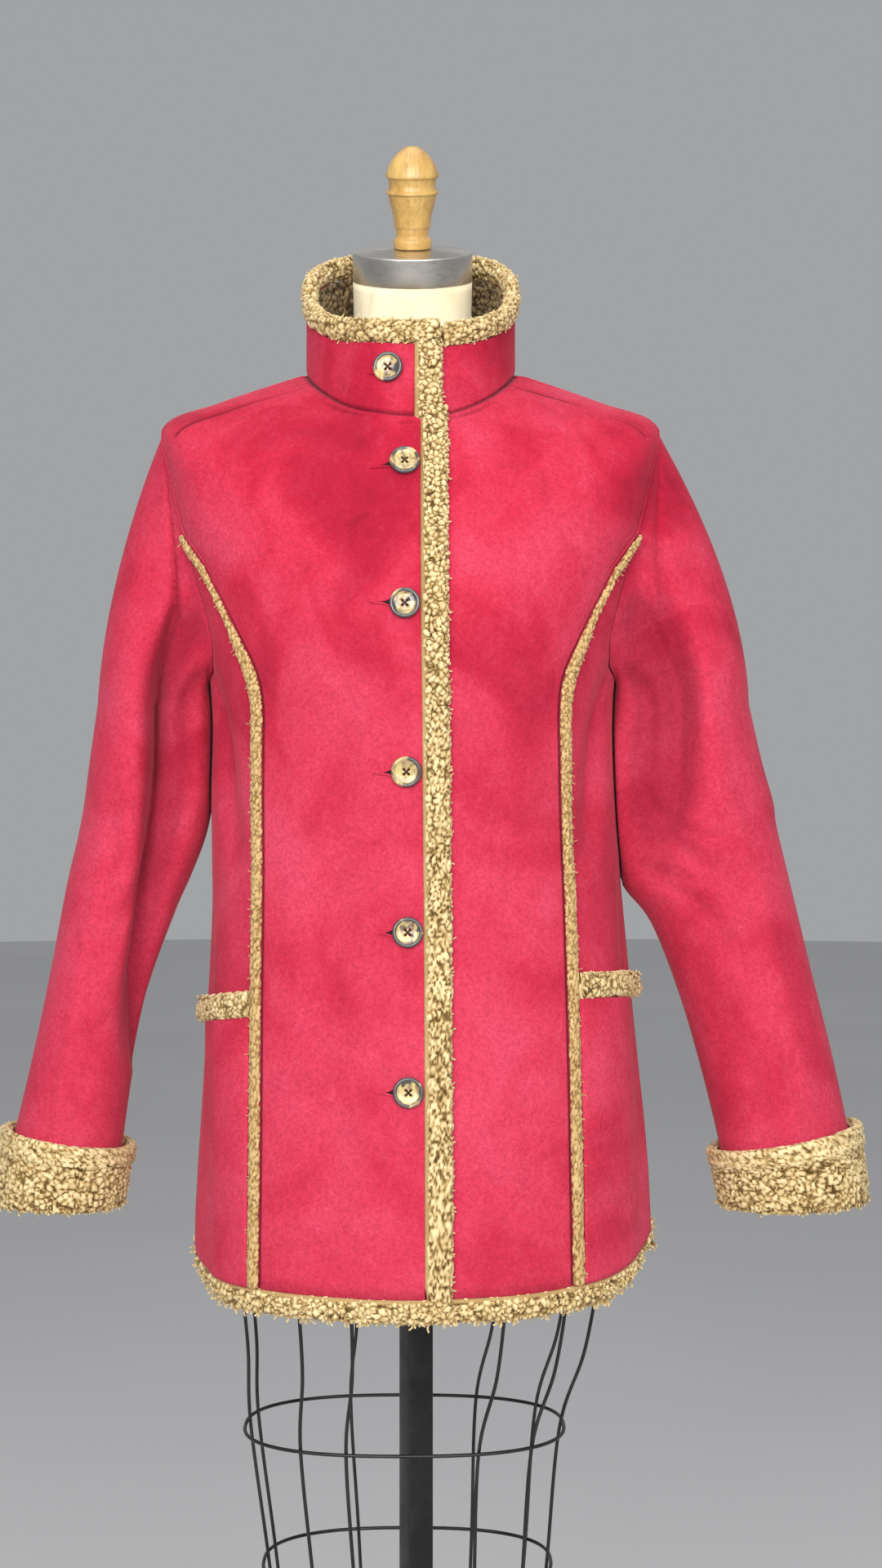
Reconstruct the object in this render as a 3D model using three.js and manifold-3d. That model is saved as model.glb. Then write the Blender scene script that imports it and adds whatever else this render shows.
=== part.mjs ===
// A woman's sherpa lined suede-cloth jacket, buttoned on a dress form with a wire cage.
// Millimetres, +Z up. The front faces -Y, the wearer's left is +X, and the origin is the middle of the
// base's underside, on the floor.
import * as THREE from "three";
import { mergeVertices } from "three/addons/utils/BufferGeometryUtils.js";
import Module from "manifold-3d";

const wasm = await Module();
wasm.setup();

// Cloth thicknesses and gaps
const CLOTH = 4; // suede cloth bonded to a short sherpa pile
const POCKET_CLOTH = 3;
const SEAM_GAP = 0.3;
const ARMHOLE_GAP = 0.45;
const LAYER_GAP = 0.7; // between a panel and what lies on it
const OVERLAP_LIFT = 4.9; // the right front lies this far out over the left front

// Fronts, measured across from the centre front
const BUTTONHOLE_EDGE = 9; // the right front ends here, and its sherpa band goes on
const BAND_EDGE = 30;
const UNDER_EDGE = -18; // the left front ends here, under the right one
const LIFT_FROM = -60;
const LIFT_TO = -22;

// The hang: the hips sit a little higher on the wearer's left
const SKEW = { rise: 10, across: 170, atHem: 6 };
const SKEW_LEVELS = { from: 8, full: 10, leave: 10.3, hem: 12 };

// Rings of the jacket's outer face from the neckline down. front, side and back are heights, and dip
// says how a ring leaves its side height. roundness 2 is an ellipse. sway moves a whole ring to the
// wearer's left, and swing its sides only.
const BODY_RINGS = [
  { at: "neckline", front: 1379, side: 1431, back: 1460, halfWidth: 88, frontDepth: 96, backDepth: 72, roundness: 2.0, dip: 1.4, sway: -1.5, swing: 0 },
  { at: "upper shoulder", front: 1362, side: 1419, back: 1443, halfWidth: 122, frontDepth: 103, backDepth: 80, roundness: 2.05, dip: 1.7, sway: -1.5, swing: 0 },
  { at: "middle shoulder", front: 1339, side: 1404, back: 1418, halfWidth: 162, frontDepth: 112, backDepth: 90, roundness: 2.2, dip: 2.0, sway: -1.4, swing: 0 },
  { at: "shoulder point", front: 1310, side: 1384, back: 1384, halfWidth: 207, frontDepth: 123, backDepth: 100, roundness: 2.5, dip: 2.0, sway: -1.3, swing: 0 },
  { at: "upper armhole", front: 1275, side: 1335, back: 1340, halfWidth: 204, frontDepth: 135, backDepth: 107, roundness: 2.6, dip: 2.0, sway: -1.1, swing: 0 },
  { at: "middle armhole", front: 1240, side: 1268, back: 1288, halfWidth: 191, frontDepth: 145, backDepth: 110, roundness: 2.55, dip: 2.0, sway: -0.9, swing: 0 },
  { at: "underarm", front: 1196, side: 1206, back: 1225, halfWidth: 175, frontDepth: 149, backDepth: 110, roundness: 2.4, dip: 2.0, sway: -0.6, swing: 0 },
  { at: "lower chest", front: 1145, side: 1145, back: 1150, halfWidth: 168, frontDepth: 146, backDepth: 106, roundness: 2.25, dip: 2.0, sway: 0, swing: 0 },
  { at: "midriff", front: 1075, side: 1075, back: 1075, halfWidth: 169.5, frontDepth: 141, backDepth: 100, roundness: 2.2, dip: 2.0, sway: 0.5, swing: 0 },
  { at: "waist", front: 995, side: 995, back: 995, halfWidth: 172, frontDepth: 139, backDepth: 102, roundness: 2.3, dip: 2.0, sway: 1.2, swing: 2.5 },
  { at: "high hip", front: 905, side: 905, back: 905, halfWidth: 178, frontDepth: 144, backDepth: 118, roundness: 2.3, dip: 2.0, sway: 1.8, swing: 3.6 },
  { at: "hip", front: 800, side: 803, back: 800, halfWidth: 185, frontDepth: 152, backDepth: 136, roundness: 2.3, dip: 1.4, sway: 2.2, swing: 6.2 },
  { at: "hem", front: 686, side: 706, back: 690, halfWidth: 190, frontDepth: 160, backDepth: 150, roundness: 2.3, dip: 0.6, sway: 2.5, swing: 7.5 },
];
const HEM_LEVEL = BODY_RINGS.length - 1;

// The side fronts' lower corners curve up to the side vents
const VENT = { fromAngle: 46, toAngle: 91, rise: 0.48 };

// The collar's top edge, under its sherpa roll
const COLLAR_TOP = { front: 1435, side: 1487, back: 1531, halfWidth: 88, frontDepth: 92, backDepth: 77, roundness: 2.0, dip: 0.75 };
const COLLAR_SWAY = -1.5;
const COLLAR_EDGE = 4;
const COLLAR_BAND_EDGE = 25;
const COLLAR_LINING = 3;
const COLLAR_CLEARANCE = { plain: 0.5, perLift: 0.5 }; // above the neckline, more where the front is lifted
const LINING_DEPTH = 0.62; // share of the collar's height that the lining shows for, from its top
const COLLAR_ROLL = { height: 20, thickness: 13 };

// The princess seam, from the armhole to the hem: distance from the centre front at each level
const PRINCESS_SEAM = [
  { level: 4.6, across: 187 },
  { level: 4.8, across: 176 },
  { level: 5.0, across: 166 },
  { level: 5.5, across: 150 },
  { level: 6.0, across: 136 },
  { level: 6.5, across: 123.5 },
  { level: 7.0, across: 118 },
  { level: 7.5, across: 118 },
  { level: 8.0, across: 118.6 },
  { level: 9.0, across: 120 },
  { level: 10.0, across: 121.5 },
  { level: 11.0, across: 122.5 },
  { level: 12.0, across: 123.5 },
];

// The armhole, from the shoulder seam round the front, the underarm and the back
const ARMHOLE = [
  { at: "shoulder seam", angle: 84, level: 3.05 },
  { at: "front upper", angle: 74.5, level: 3.62 },
  { at: "princess seam", angle: 69, level: 4.6 },
  { at: "front lower", angle: 67, level: 5.45 },
  { at: "front underarm", angle: 69, level: 6.2 },
  { at: "before side seam", angle: 80, level: 6.5 },
  { at: "side seam", angle: 91, level: 6.58 },
  { at: "after side seam", angle: 104, level: 6.38 },
  { at: "back underarm", angle: 114, level: 5.75 },
  { at: "back lower", angle: 118, level: 4.9 },
  { at: "back upper", angle: 115, level: 4.05 },
  { at: "behind shoulder", angle: 102, level: 3.3 },
];
const ARMHOLE_STEPS = 24; // points round each armhole and each sleeve
const PRINCESS_STEP = 4;
const SIDE_SEAM_STEP = 12;

// Rows of the panels. centre is the level at the centre front or back.
const SHOULDER_ROWS = [
  { centre: 0, edge: 0 },
  { centre: 1.0, edge: 1.0 },
  { centre: 2.0, edge: 2.05 },
];
const FRONT_ARMHOLE_CENTRES = [2.9, 3.3, 3.75, 4.2, 4.65];
const BACK_ARMHOLE_CENTRES = [2.9, 3.2, 3.5, 3.85, 4.2, 4.55, 4.9, 5.2, 5.5, 5.85, 6.2, 6.45, 6.7];
const LOWER_ROWS = [
  { centre: 5.2, princess: 5.2, side: 6.76 },
  { centre: 5.8, princess: 5.8, side: 6.96 },
  { centre: 6.4, princess: 6.4, side: 7.18 },
  { centre: 7.0, princess: 7.0, side: 7.44 },
  { centre: 7.5, princess: 7.5, side: 7.74 },
  { centre: 8.0, princess: 8.0, side: 8.1 },
  { centre: 8.5, princess: 8.5, side: 8.52 },
  { centre: 9.0, princess: 9.0, side: 9.0 },
  { centre: 9.5, princess: 9.5, side: 9.5 },
  { centre: 9.84, princess: 9.78, side: 9.9 },
  { centre: 10.03, princess: 9.97, side: 10.1 },
  { centre: 10.7, princess: 10.7, side: 10.7 },
  { centre: 11.3, princess: 11.3, side: 11.3 },
  { centre: 12.0, princess: 12.0, side: 12.0 },
];
const POCKET_BAND_ROW = 10; // in the side front's rows
const POCKET_ROW = 11;
const FRONT_NEAR = [22, 41, 60]; // distances from the centre front of the columns beside it
const FRONT_COLUMNS = 5; // from there to the outer edge
const BACK_COLUMNS = 7; // in each half

// Trim sizes
const PRINCESS_TRIM = { widthTop: 12, widthBottom: 9.5, height: 4.5 };
const FRONT_BAND_HEIGHT = 6;
const POCKET_BAND = { height: 8.5, overhang: 3 };
const POCKET_PUFF = 5;
const POCKET_END = 6; // the side front's column where the pocket ends
const HEM_TRIM = { height: 21, thickness: 11, ventHeight: 11, stopAngle: 82 };

// Troughs pressed into the jacket's body: a line of angles down the levels, each with its own depth
const BODY_FOLDS = [
  { name: "right underarm fold", from: 6.3, to: 8.8, angleFrom: -76, angleTo: -55, bend: 1, depth: 10, halfWidth: 6.5 },
  { name: "left underarm fold", from: 6.3, to: 8.8, angleFrom: 72, angleTo: 53, bend: 1, depth: 11, halfWidth: 6.5 },
  { name: "right back waist fold", from: 7.0, to: 10.2, angleFrom: -128, angleTo: -118, bend: 1, depth: 6, halfWidth: 9 },
  { name: "left back waist fold", from: 6.9, to: 10.0, angleFrom: 130, angleTo: 119, bend: 1, depth: 6, halfWidth: 9 },
];

// Sleeves, below the shoulder: centre line, half width across and half depth front to back
const RIGHT_SLEEVE = [
  { at: "upper arm", height: 1150, across: 216.5, forward: 0, halfWidth: 48.5, halfDepth: 64, level: 0 },
  { at: "above elbow", height: 1100, across: 219, forward: 0, halfWidth: 53, halfDepth: 64, level: 0 },
  { at: "elbow", height: 1058, across: 224.8, forward: 0, halfWidth: 52.8, halfDepth: 61, level: 0 },
  { at: "under elbow", height: 1025, across: 234, forward: -1, halfWidth: 50, halfDepth: 58, level: 0 },
  { at: "below elbow", height: 988, across: 246, forward: -2, halfWidth: 46.5, halfDepth: 56, level: 0 },
  { at: "forearm", height: 919, across: 264, forward: -5, halfWidth: 41, halfDepth: 53, level: 0 },
  { at: "lower forearm", height: 850, across: 277, forward: -9, halfWidth: 42, halfDepth: 50, level: 0 },
  { at: "cuff top", height: 787, across: 288.5, forward: -12, halfWidth: 45, halfDepth: 48, level: 0.1 },
  { at: "cuff middle", height: 761, across: 292.5, forward: -13, halfWidth: 46.5, halfDepth: 48, level: 0.4 },
  { at: "cuff bottom", height: 738, across: 295, forward: -14, halfWidth: 47, halfDepth: 48, level: 0.7 },
];
const LEFT_SLEEVE = [
  { at: "upper arm", height: 1150, across: 225.8, forward: 0, halfWidth: 57.8, halfDepth: 60, level: 0 },
  { at: "above elbow", height: 1100, across: 227.3, forward: 0, halfWidth: 67.3, halfDepth: 59, level: 0 },
  { at: "elbow", height: 1058, across: 231.5, forward: 0, halfWidth: 73.5, halfDepth: 57, level: 0 },
  { at: "under elbow", height: 1025, across: 242, forward: -1, halfWidth: 69.5, halfDepth: 55, level: 0 },
  { at: "below elbow", height: 988, across: 259, forward: -2, halfWidth: 61, halfDepth: 54, level: 0 },
  { at: "forearm", height: 919, across: 280, forward: -5, halfWidth: 56, halfDepth: 52, level: 0 },
  { at: "lower forearm", height: 850, across: 298, forward: -9, halfWidth: 54.6, halfDepth: 50, level: 0 },
  { at: "cuff top", height: 787, across: 312, forward: -12, halfWidth: 54, halfDepth: 48, level: 0.1 },
  { at: "cuff middle", height: 761, across: 316, forward: -13, halfWidth: 55, halfDepth: 48, level: 0.4 },
  { at: "cuff bottom", height: 738, across: 319, forward: -14, halfWidth: 55.5, halfDepth: 48, level: 0.7 },
];
const BODY_CLEARANCE = 2; // between a sleeve and the body's side
const CUFF_RING = 7; // the sleeve ring at the cuff's top
const SLEEVE_HEAD_STEPS = [0.12, 0.3, 0.52, 0.76]; // rings between the armhole and the upper arm
const HEAD = { leaveTop: 22, leaveBottom: 2.5, arriveTop: 110, arriveBottom: 8, clearBottom: 7 };

// Troughs in a sleeve: angle round it (0 outside, 90 front, 180 inside), and rows counted from the armhole
const SLEEVE_FOLDS = {
  right: [
    { from: 1, to: 11, angleFrom: 100, angleTo: 166, bend: 3, depth: 26, halfWidth: 17 },
    { from: 3.5, to: 11, angleFrom: 262, angleTo: 236, bend: 1, depth: 9, halfWidth: 26 },
  ],
  left: [
    { from: 0.8, to: 8.4, angleFrom: 106, angleTo: 120, bend: 1, depth: 15, halfWidth: 24 },
    { from: 1.5, to: 8, angleFrom: 258, angleTo: 240, bend: 1, depth: 10, halfWidth: 26 },
  ],
};

// A cuff stands off its sleeve, further at its top
const CUFF = { wall: 6, gapTop: 3.5, gapBottom: 0.5, below: 2, above: 2 };

// Buttons on the centre front: heights from the collar down
const BUTTONS = [
  { name: "button_1", across: -15.8, height: 1415, onCollar: true },
  { name: "button_2", across: -3.3, height: 1339 },
  { name: "button_3", across: -3.3, height: 1225 },
  { name: "button_4", across: -3.3, height: 1095 },
  { name: "button_5", across: -3.3, height: 969 },
  { name: "button_6", across: -3.3, height: 845 },
];
const BUTTON = { radius: 12.2, thickness: 4.2, rimWidth: 3, dish: 1.3, holeRadius: 1.2, holeSpacing: 3.6 };

// The dress form. Its neck and cap lean forward.
const NECK_LEAN = 20;
const CAP = { centre: [0, -5, 1533], radius: 50.5, height: 24, edge: 2.5, dome: 3 };
const FORM_RINGS_NECK = [
  { front: 1493.1, side: 1509.2, back: 1527.3, halfWidth: 50.3, frontDepth: 44.2, backDepth: 50.5, roundness: 2, dip: 1 },
  { front: 1452, side: 1472, back: 1492, halfWidth: 50, frontDepth: 50, backDepth: 52, roundness: 2, dip: 1.2 },
  { front: 1414, side: 1443, back: 1462, halfWidth: 55, frontDepth: 60, backDepth: 55, roundness: 2, dip: 1.3 },
  { front: 1386, side: 1429, back: 1449, halfWidth: 74, frontDepth: 78, backDepth: 62, roundness: 2, dip: 1.4 },
];
const FORM_SHOULDER = [
  { level: 1.0, clearance: 1.5 },
  { level: 1.5, clearance: 2 },
  { level: 2.0, clearance: 3 },
  { level: 2.45, clearance: 5 },
];
const FORM_RINGS_BODY = [
  { front: 1300, side: 1352, back: 1350, halfWidth: 186, frontDepth: 117, backDepth: 94, roundness: 2.6, dip: 2 },
  { front: 1262, side: 1290, back: 1300, halfWidth: 176, frontDepth: 128, backDepth: 98, roundness: 2.5, dip: 2 },
  { front: 1222, side: 1232, back: 1240, halfWidth: 162, frontDepth: 137, backDepth: 98, roundness: 2.4, dip: 2 },
  { front: 1170, side: 1170, back: 1170, halfWidth: 150, frontDepth: 131, backDepth: 92, roundness: 2.3, dip: 2 },
  { front: 1110, side: 1110, back: 1110, halfWidth: 138, frontDepth: 112, backDepth: 82, roundness: 2.2, dip: 2 },
  { front: 1040, side: 1040, back: 1040, halfWidth: 128, frontDepth: 98, backDepth: 76, roundness: 2.2, dip: 2 },
  { front: 960, side: 960, back: 960, halfWidth: 146, frontDepth: 108, backDepth: 96, roundness: 2.2, dip: 2 },
  { front: 870, side: 870, back: 870, halfWidth: 163, frontDepth: 118, backDepth: 118, roundness: 2.3, dip: 2 },
  { front: 775, side: 775, back: 775, halfWidth: 166, frontDepth: 120, backDepth: 122, roundness: 2.3, dip: 2 },
];
const FORM_COLUMNS = 24;

// The turned finial's outline: height above the cap and radius
const FINIAL_OUTLINE = [
  { height: 0, radius: 15.6 },
  { height: 5.8, radius: 16.1 },
  { height: 8.4, radius: 14.8 },
  { height: 10.4, radius: 13.6 },
  { height: 16, radius: 14.2 },
  { height: 18.4, radius: 15.3 },
  { height: 27.3, radius: 16.2 },
  { height: 35.6, radius: 18.6 },
  { height: 43.6, radius: 20.4 },
  { height: 44.7, radius: 21.9 },
  { height: 46.5, radius: 21.9 },
  { height: 47.7, radius: 20.4 },
  { height: 51.6, radius: 19.4 },
  { height: 56.5, radius: 20.2 },
  { height: 58.1, radius: 21.9 },
  { height: 60.5, radius: 21.9 },
  { height: 64.5, radius: 20.6 },
  { height: 69.4, radius: 18.4 },
  { height: 74.3, radius: 15 },
  { height: 78.8, radius: 10.6 },
  { height: 81.9, radius: 6 },
  { height: 82.8, radius: 3.2 },
];

// Cage: ovals from the form's underside down
const WIRE = 3;
const CAGE_ROUNDNESS = 2.5;
const CAGE_BACK = 4.5; // its middle is this far behind the axis
const CAGE_OVALS = [
  { height: 774.6, across: 3, halfWidth: 160, halfDepth: 108 },
  { height: 690, across: 5, halfWidth: 154, halfDepth: 104 },
  { height: 609, across: 2.8, halfWidth: 143, halfDepth: 96 },
  { height: 543, across: -6.8, halfWidth: 131, halfDepth: 88.5 },
  { height: 428, across: -4.5, halfWidth: 117.8, halfDepth: 80 },
  { height: 313, across: -3, halfWidth: 105, halfDepth: 72 },
];
const FIRST_HOOP = 3; // hoops lie round the wires at the ovals from this one down
const CAGE_ANGLES = [22.8, 49.6, 88, 123.6, 157, 197, 253, 268, 325.3, 344.3];

// Stand
const STAND_ACROSS = 3; // the pole stands this far to the wearer's left of the jacket's middle
const POLE = { side: 22, turn: 26 };
const FLANGE = { radius: 48, thickness: 6 };
const BASE = { radius: 220, thickness: 14, edge: 6, hubRadius: 30, hubHeight: 52, slope: 10 };

const COLOURS = {
  suede: 0xb3193c,
  sherpa: 0xb08a58,
  lining: 0x8a6842,
  button: 0x6d6257,
  linen: 0xe8dfc8,
  steel: 0xb9b7b2,
  gilt: 0xb58a45,
  black: 0x0d0d0f,
};

// Numbers and curves
const radians = THREE.MathUtils.degToRad;
const lerp = THREE.MathUtils.lerp;
const smooth = (from, to, value) => THREE.MathUtils.smoothstep(value, from, to);

function catmull(a, b, c, d, t) {
  const rise = (c - a) / 2;
  const leave = (d - b) / 2;
  return ((2 * b - 2 * c + rise + leave) * t + (-3 * b + 3 * c - 2 * rise - leave)) * t * t + rise * t + b;
}

// The value of one column of a table at a place between its rows
function between(rows, column, place, closed = false) {
  const count = rows.length;
  const last = count - 1;
  const held = closed ? place : Math.min(Math.max(place, 0), last);
  const start = closed ? Math.floor(held) : Math.min(Math.floor(held), last - 1);
  const row = (index) => {
    if (closed) return rows[((index % count) + count) % count][column];
    if (index < 0) return 2 * rows[0][column] - rows[1][column];
    if (index > last) return 2 * rows[last][column] - rows[last - 1][column];
    return rows[index][column];
  };
  return catmull(row(start - 1), row(start), row(start + 1), row(start + 2), held - start);
}

// The value of one column where another column has the given value
function lookUp(rows, keyColumn, column, key) {
  let index = 0;
  while (index < rows.length - 2 && rows[index + 1][keyColumn] < key) index += 1;
  const share = (key - rows[index][keyColumn]) / (rows[index + 1][keyColumn] - rows[index][keyColumn]);
  return between(rows, column, index + Math.min(Math.max(share, 0), 1));
}

// A point on a ring of the body, collar or form
function ringPoint(ring, angle) {
  const sine = Math.sin(radians(angle));
  const cosine = Math.cos(radians(angle));
  const power = 2 / ring.roundness;
  const depth = cosine > 0 ? -ring.frontDepth : ring.backDepth;
  const far = cosine > 0 ? ring.front : ring.back;
  return new THREE.Vector3(
    ring.halfWidth * Math.sign(sine) * Math.abs(sine) ** power,
    depth * Math.abs(cosine) ** power,
    ring.side + (far - ring.side) * Math.abs(cosine) ** ring.dip,
  );
}

const RING_COLUMNS = ["front", "side", "back", "halfWidth", "frontDepth", "backDepth", "roundness", "dip"];
const HANG_COLUMNS = ["sway", "swing"];

function ringAt(rows, place, columns = RING_COLUMNS) {
  return Object.fromEntries(columns.map((column) => [column, between(rows, column, place)]));
}

// The jacket's body: angle 0 is the centre front, 90 the wearer's left side, 180 the centre back
function troughDepth(folds, place, angle) {
  return folds.reduce((sum, fold) => {
    const share = (place - fold.from) / (fold.to - fold.from);
    if (share <= 0 || share >= 1) return sum;
    const away = (angle - lerp(fold.angleFrom, fold.angleTo, share ** fold.bend)) / fold.halfWidth;
    return sum + fold.depth * Math.sin(Math.PI * share) ** 0.8 * Math.exp(-away * away);
  }, 0);
}

function smoothBody(angle, level) {
  const point = ringPoint(ringAt(BODY_RINGS, level), angle);
  const hang = ringAt(BODY_RINGS, level, HANG_COLUMNS);
  const start = smooth(SKEW_LEVELS.from, SKEW_LEVELS.full, level);
  const rise = lerp(SKEW.rise, SKEW.atHem, smooth(SKEW_LEVELS.leave, SKEW_LEVELS.hem, level)) * start;
  const side = Math.abs(Math.sin(radians(angle))) ** 3;
  const flat = smooth(SKEW_LEVELS.leave, SKEW_LEVELS.hem, level);
  point.z += rise * (point.x / SKEW.across) * lerp(1, side, flat);
  point.x += hang.sway + hang.swing * side;
  return point;
}

function bodyNormal(angle, level) {
  const step = 0.6;
  const along = smoothBody(angle + step, level).sub(smoothBody(angle - step, level));
  const down = smoothBody(angle, level + 0.03).sub(smoothBody(angle, level - 0.03));
  return down.cross(along).normalize();
}

function wrapAngle(angle) {
  return angle > 180 ? angle - 360 : angle;
}

function bodyPoint(angle, level, offset = 0) {
  const fold = troughDepth(BODY_FOLDS, level, wrapAngle(angle));
  return smoothBody(angle, level).addScaledVector(bodyNormal(angle, level), offset - fold);
}

function angleAcross(across, level) {
  const ring = ringAt(BODY_RINGS, level);
  const share = Math.min(Math.abs(across) / ring.halfWidth, 1);
  return Math.sign(across) * THREE.MathUtils.radToDeg(Math.asin(share ** (ring.roundness / 2)));
}

// The body's distance across at a depth and height, below the chest
function bodyReach(depth, height, side) {
  let [low, high] = [5, HEM_LEVEL];
  let angle = 90;
  for (let step = 0; step < 14; step += 1) {
    const middle = (low + high) / 2;
    const ring = ringAt(BODY_RINGS, middle);
    const share = Math.min(Math.abs(depth) / (depth < 0 ? ring.frontDepth : ring.backDepth), 1);
    angle = THREE.MathUtils.radToDeg(Math.acos(share ** (ring.roundness / 2)));
    if (depth > 0) angle = 180 - angle;
    if (ringPoint(ring, angle).z > height) low = middle;
    else high = middle;
  }
  return side * smoothBody(side * angle, low).x;
}

function princessAngle(level) {
  return angleAcross(lookUp(PRINCESS_SEAM, "level", "across", level), level);
}

function armholePlace(step) {
  const place = (step * ARMHOLE.length) / ARMHOLE_STEPS;
  return { angle: between(ARMHOLE, "angle", place, true), level: between(ARMHOLE, "level", place, true) };
}

// Solids
function solid(name, colour, vertices, triangles, roughness = 0.9, metalness = 0) {
  const geometry = new THREE.BufferGeometry();
  geometry.setAttribute("position", new THREE.Float32BufferAttribute(vertices.flatMap((v) => [v.x, v.y, v.z]), 3));
  const volume = triangles.reduce((sum, [a, b, c]) => {
    const cross = vertices[b].clone().cross(vertices[c]);
    return sum + vertices[a].dot(cross) / 6;
  }, 0);
  geometry.setIndex(triangles.flatMap(([a, b, c]) => (volume < 0 ? [a, c, b] : [a, b, c])));
  return meshOf(name, geometry, colour, roughness, metalness);
}

function meshOf(name, geometry, colour, roughness = 0.9, metalness = 0) {
  geometry.computeVertexNormals();
  const mesh = new THREE.Mesh(geometry, new THREE.MeshStandardMaterial({ color: colour, roughness, metalness }));
  mesh.name = name;
  return mesh;
}

// A wall between two grids of points, closed along its four edges. With around, its columns join up.
function wall(name, colour, outer, inner, around = false) {
  const rows = outer.length;
  const columns = outer[0].length;
  const vertices = [...outer.flat(), ...inner.flat()];
  const half = rows * columns;
  const triangles = [];
  const quad = (a, b, c, d) => triangles.push([a, b, c], [a, c, d]);
  const at = (row, column) => row * columns + (column % columns);
  const spans = around ? columns : columns - 1;
  for (let row = 0; row < rows - 1; row += 1) {
    for (let column = 0; column < spans; column += 1) {
      const corners = [at(row, column), at(row, column + 1), at(row + 1, column + 1), at(row + 1, column)];
      quad(...corners);
      quad(...corners.map((corner) => corner + half).reverse());
    }
  }
  const closeEdge = (path) => {
    for (let i = 0; i < path.length - 1; i += 1) quad(path[i + 1], path[i], path[i] + half, path[i + 1] + half);
  };
  const rowPath = (row) => Array.from({ length: spans + 1 }, (_, column) => at(row, column));
  const columnPath = (column) => Array.from({ length: rows }, (_, row) => at(row, column));
  closeEdge(rowPath(0));
  closeEdge(rowPath(rows - 1).reverse());
  if (!around) {
    closeEdge(columnPath(0).reverse());
    closeEdge(columnPath(columns - 1));
  }
  return solid(name, colour, vertices, triangles);
}

// A solid through closed sections, capped at both ends, or joined end to start
function loft(name, colour, sections, joined = false, roughness = 0.9, metalness = 0) {
  const size = sections[0].length;
  const vertices = sections.flat();
  const triangles = [];
  const spans = joined ? sections.length : sections.length - 1;
  for (let row = 0; row < spans; row += 1) {
    const next = (row + 1) % sections.length;
    for (let column = 0; column < size; column += 1) {
      const beside = (column + 1) % size;
      const [a, b, c, d] = [row * size + column, row * size + beside, next * size + beside, next * size + column];
      triangles.push([a, b, c], [a, c, d]);
    }
  }
  const cap = (row, flip) => {
    const middle = vertices.length;
    const sum = sections[row].reduce((total, point) => total.add(point), new THREE.Vector3());
    vertices.push(sum.divideScalar(size));
    for (let column = 0; column < size; column += 1) {
      const [a, b] = [row * size + column, row * size + ((column + 1) % size)];
      triangles.push(flip ? [middle, b, a] : [middle, a, b]);
    }
  };
  if (!joined) {
    cap(0, true);
    cap(sections.length - 1, false);
  }
  return solid(name, colour, vertices, triangles, roughness, metalness);
}

// Moves the outer columns of a grid a little towards its middle, which leaves the gap of a seam
function leaveSeams(grid, left, right) {
  return grid.map((row) => {
    const moved = row.map((point) => point.clone());
    const last = row.length - 1;
    const pull = (from, to, amount) => moved[from].addScaledVector(row[to].clone().sub(row[from]).normalize(), amount);
    if (left) pull(0, 1, SEAM_GAP / 2);
    if (right) pull(last, last - 1, SEAM_GAP / 2);
    return moved;
  });
}

// Panels of the body, as grids of places {angle, level} for the wearer's left side
function frontOuterEdge() {
  const shoulder = SHOULDER_ROWS.map((row) => ({ angle: ARMHOLE[0].angle, level: row.edge, centre: row.centre }));
  const armhole = FRONT_ARMHOLE_CENTRES.map((centre, step) => ({ ...armholePlace(step), centre }));
  const princess = LOWER_ROWS.map((row) => ({
    angle: princessAngle(row.princess),
    level: row.princess,
    centre: row.centre,
  }));
  return [...shoulder, ...armhole, ...princess];
}

function backOuterEdge() {
  const shoulder = SHOULDER_ROWS.map((row) => ({ angle: ARMHOLE[0].angle, level: row.edge, centre: row.centre }));
  const armhole = BACK_ARMHOLE_CENTRES.map((centre, step) => ({ ...armholePlace(ARMHOLE_STEPS - step), centre }));
  const side = LOWER_ROWS.map((row) => ({
    angle: ARMHOLE[6].angle,
    level: row.side,
    centre: Math.max(row.centre, row.side),
  }));
  return [...shoulder, ...armhole, ...side];
}

function frontPlaces(side, edgeAcross) {
  const middle = (edgeAcross + side * FRONT_NEAR[0]) / 2;
  return frontOuterEdge().map((edge) => {
    const near = [edgeAcross, middle, ...FRONT_NEAR.map((across) => side * across)];
    const start = angleAcross(near[near.length - 1], edge.centre);
    const beside = near.slice(0, -1).map((across) => angleAcross(across, edge.centre));
    const beyond = Array.from({ length: FRONT_COLUMNS + 1 }, (_, column) =>
      lerp(start, side * edge.angle, column / FRONT_COLUMNS),
    );
    const reach = (angle) => Math.max(side * angle, 0) / edge.angle;
    return [...beside, ...beyond].map((angle) => ({ angle, level: lerp(edge.centre, edge.level, reach(angle)) }));
  });
}

function backPlaces() {
  return backOuterEdge().map((edge) =>
    Array.from({ length: 2 * BACK_COLUMNS + 1 }, (_, column) => {
      const share = Math.abs(column / BACK_COLUMNS - 1);
      const turn = lerp(180, edge.angle, share);
      return { angle: column < BACK_COLUMNS ? turn : 360 - turn, level: lerp(edge.centre, edge.level, share) };
    }),
  );
}

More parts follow.
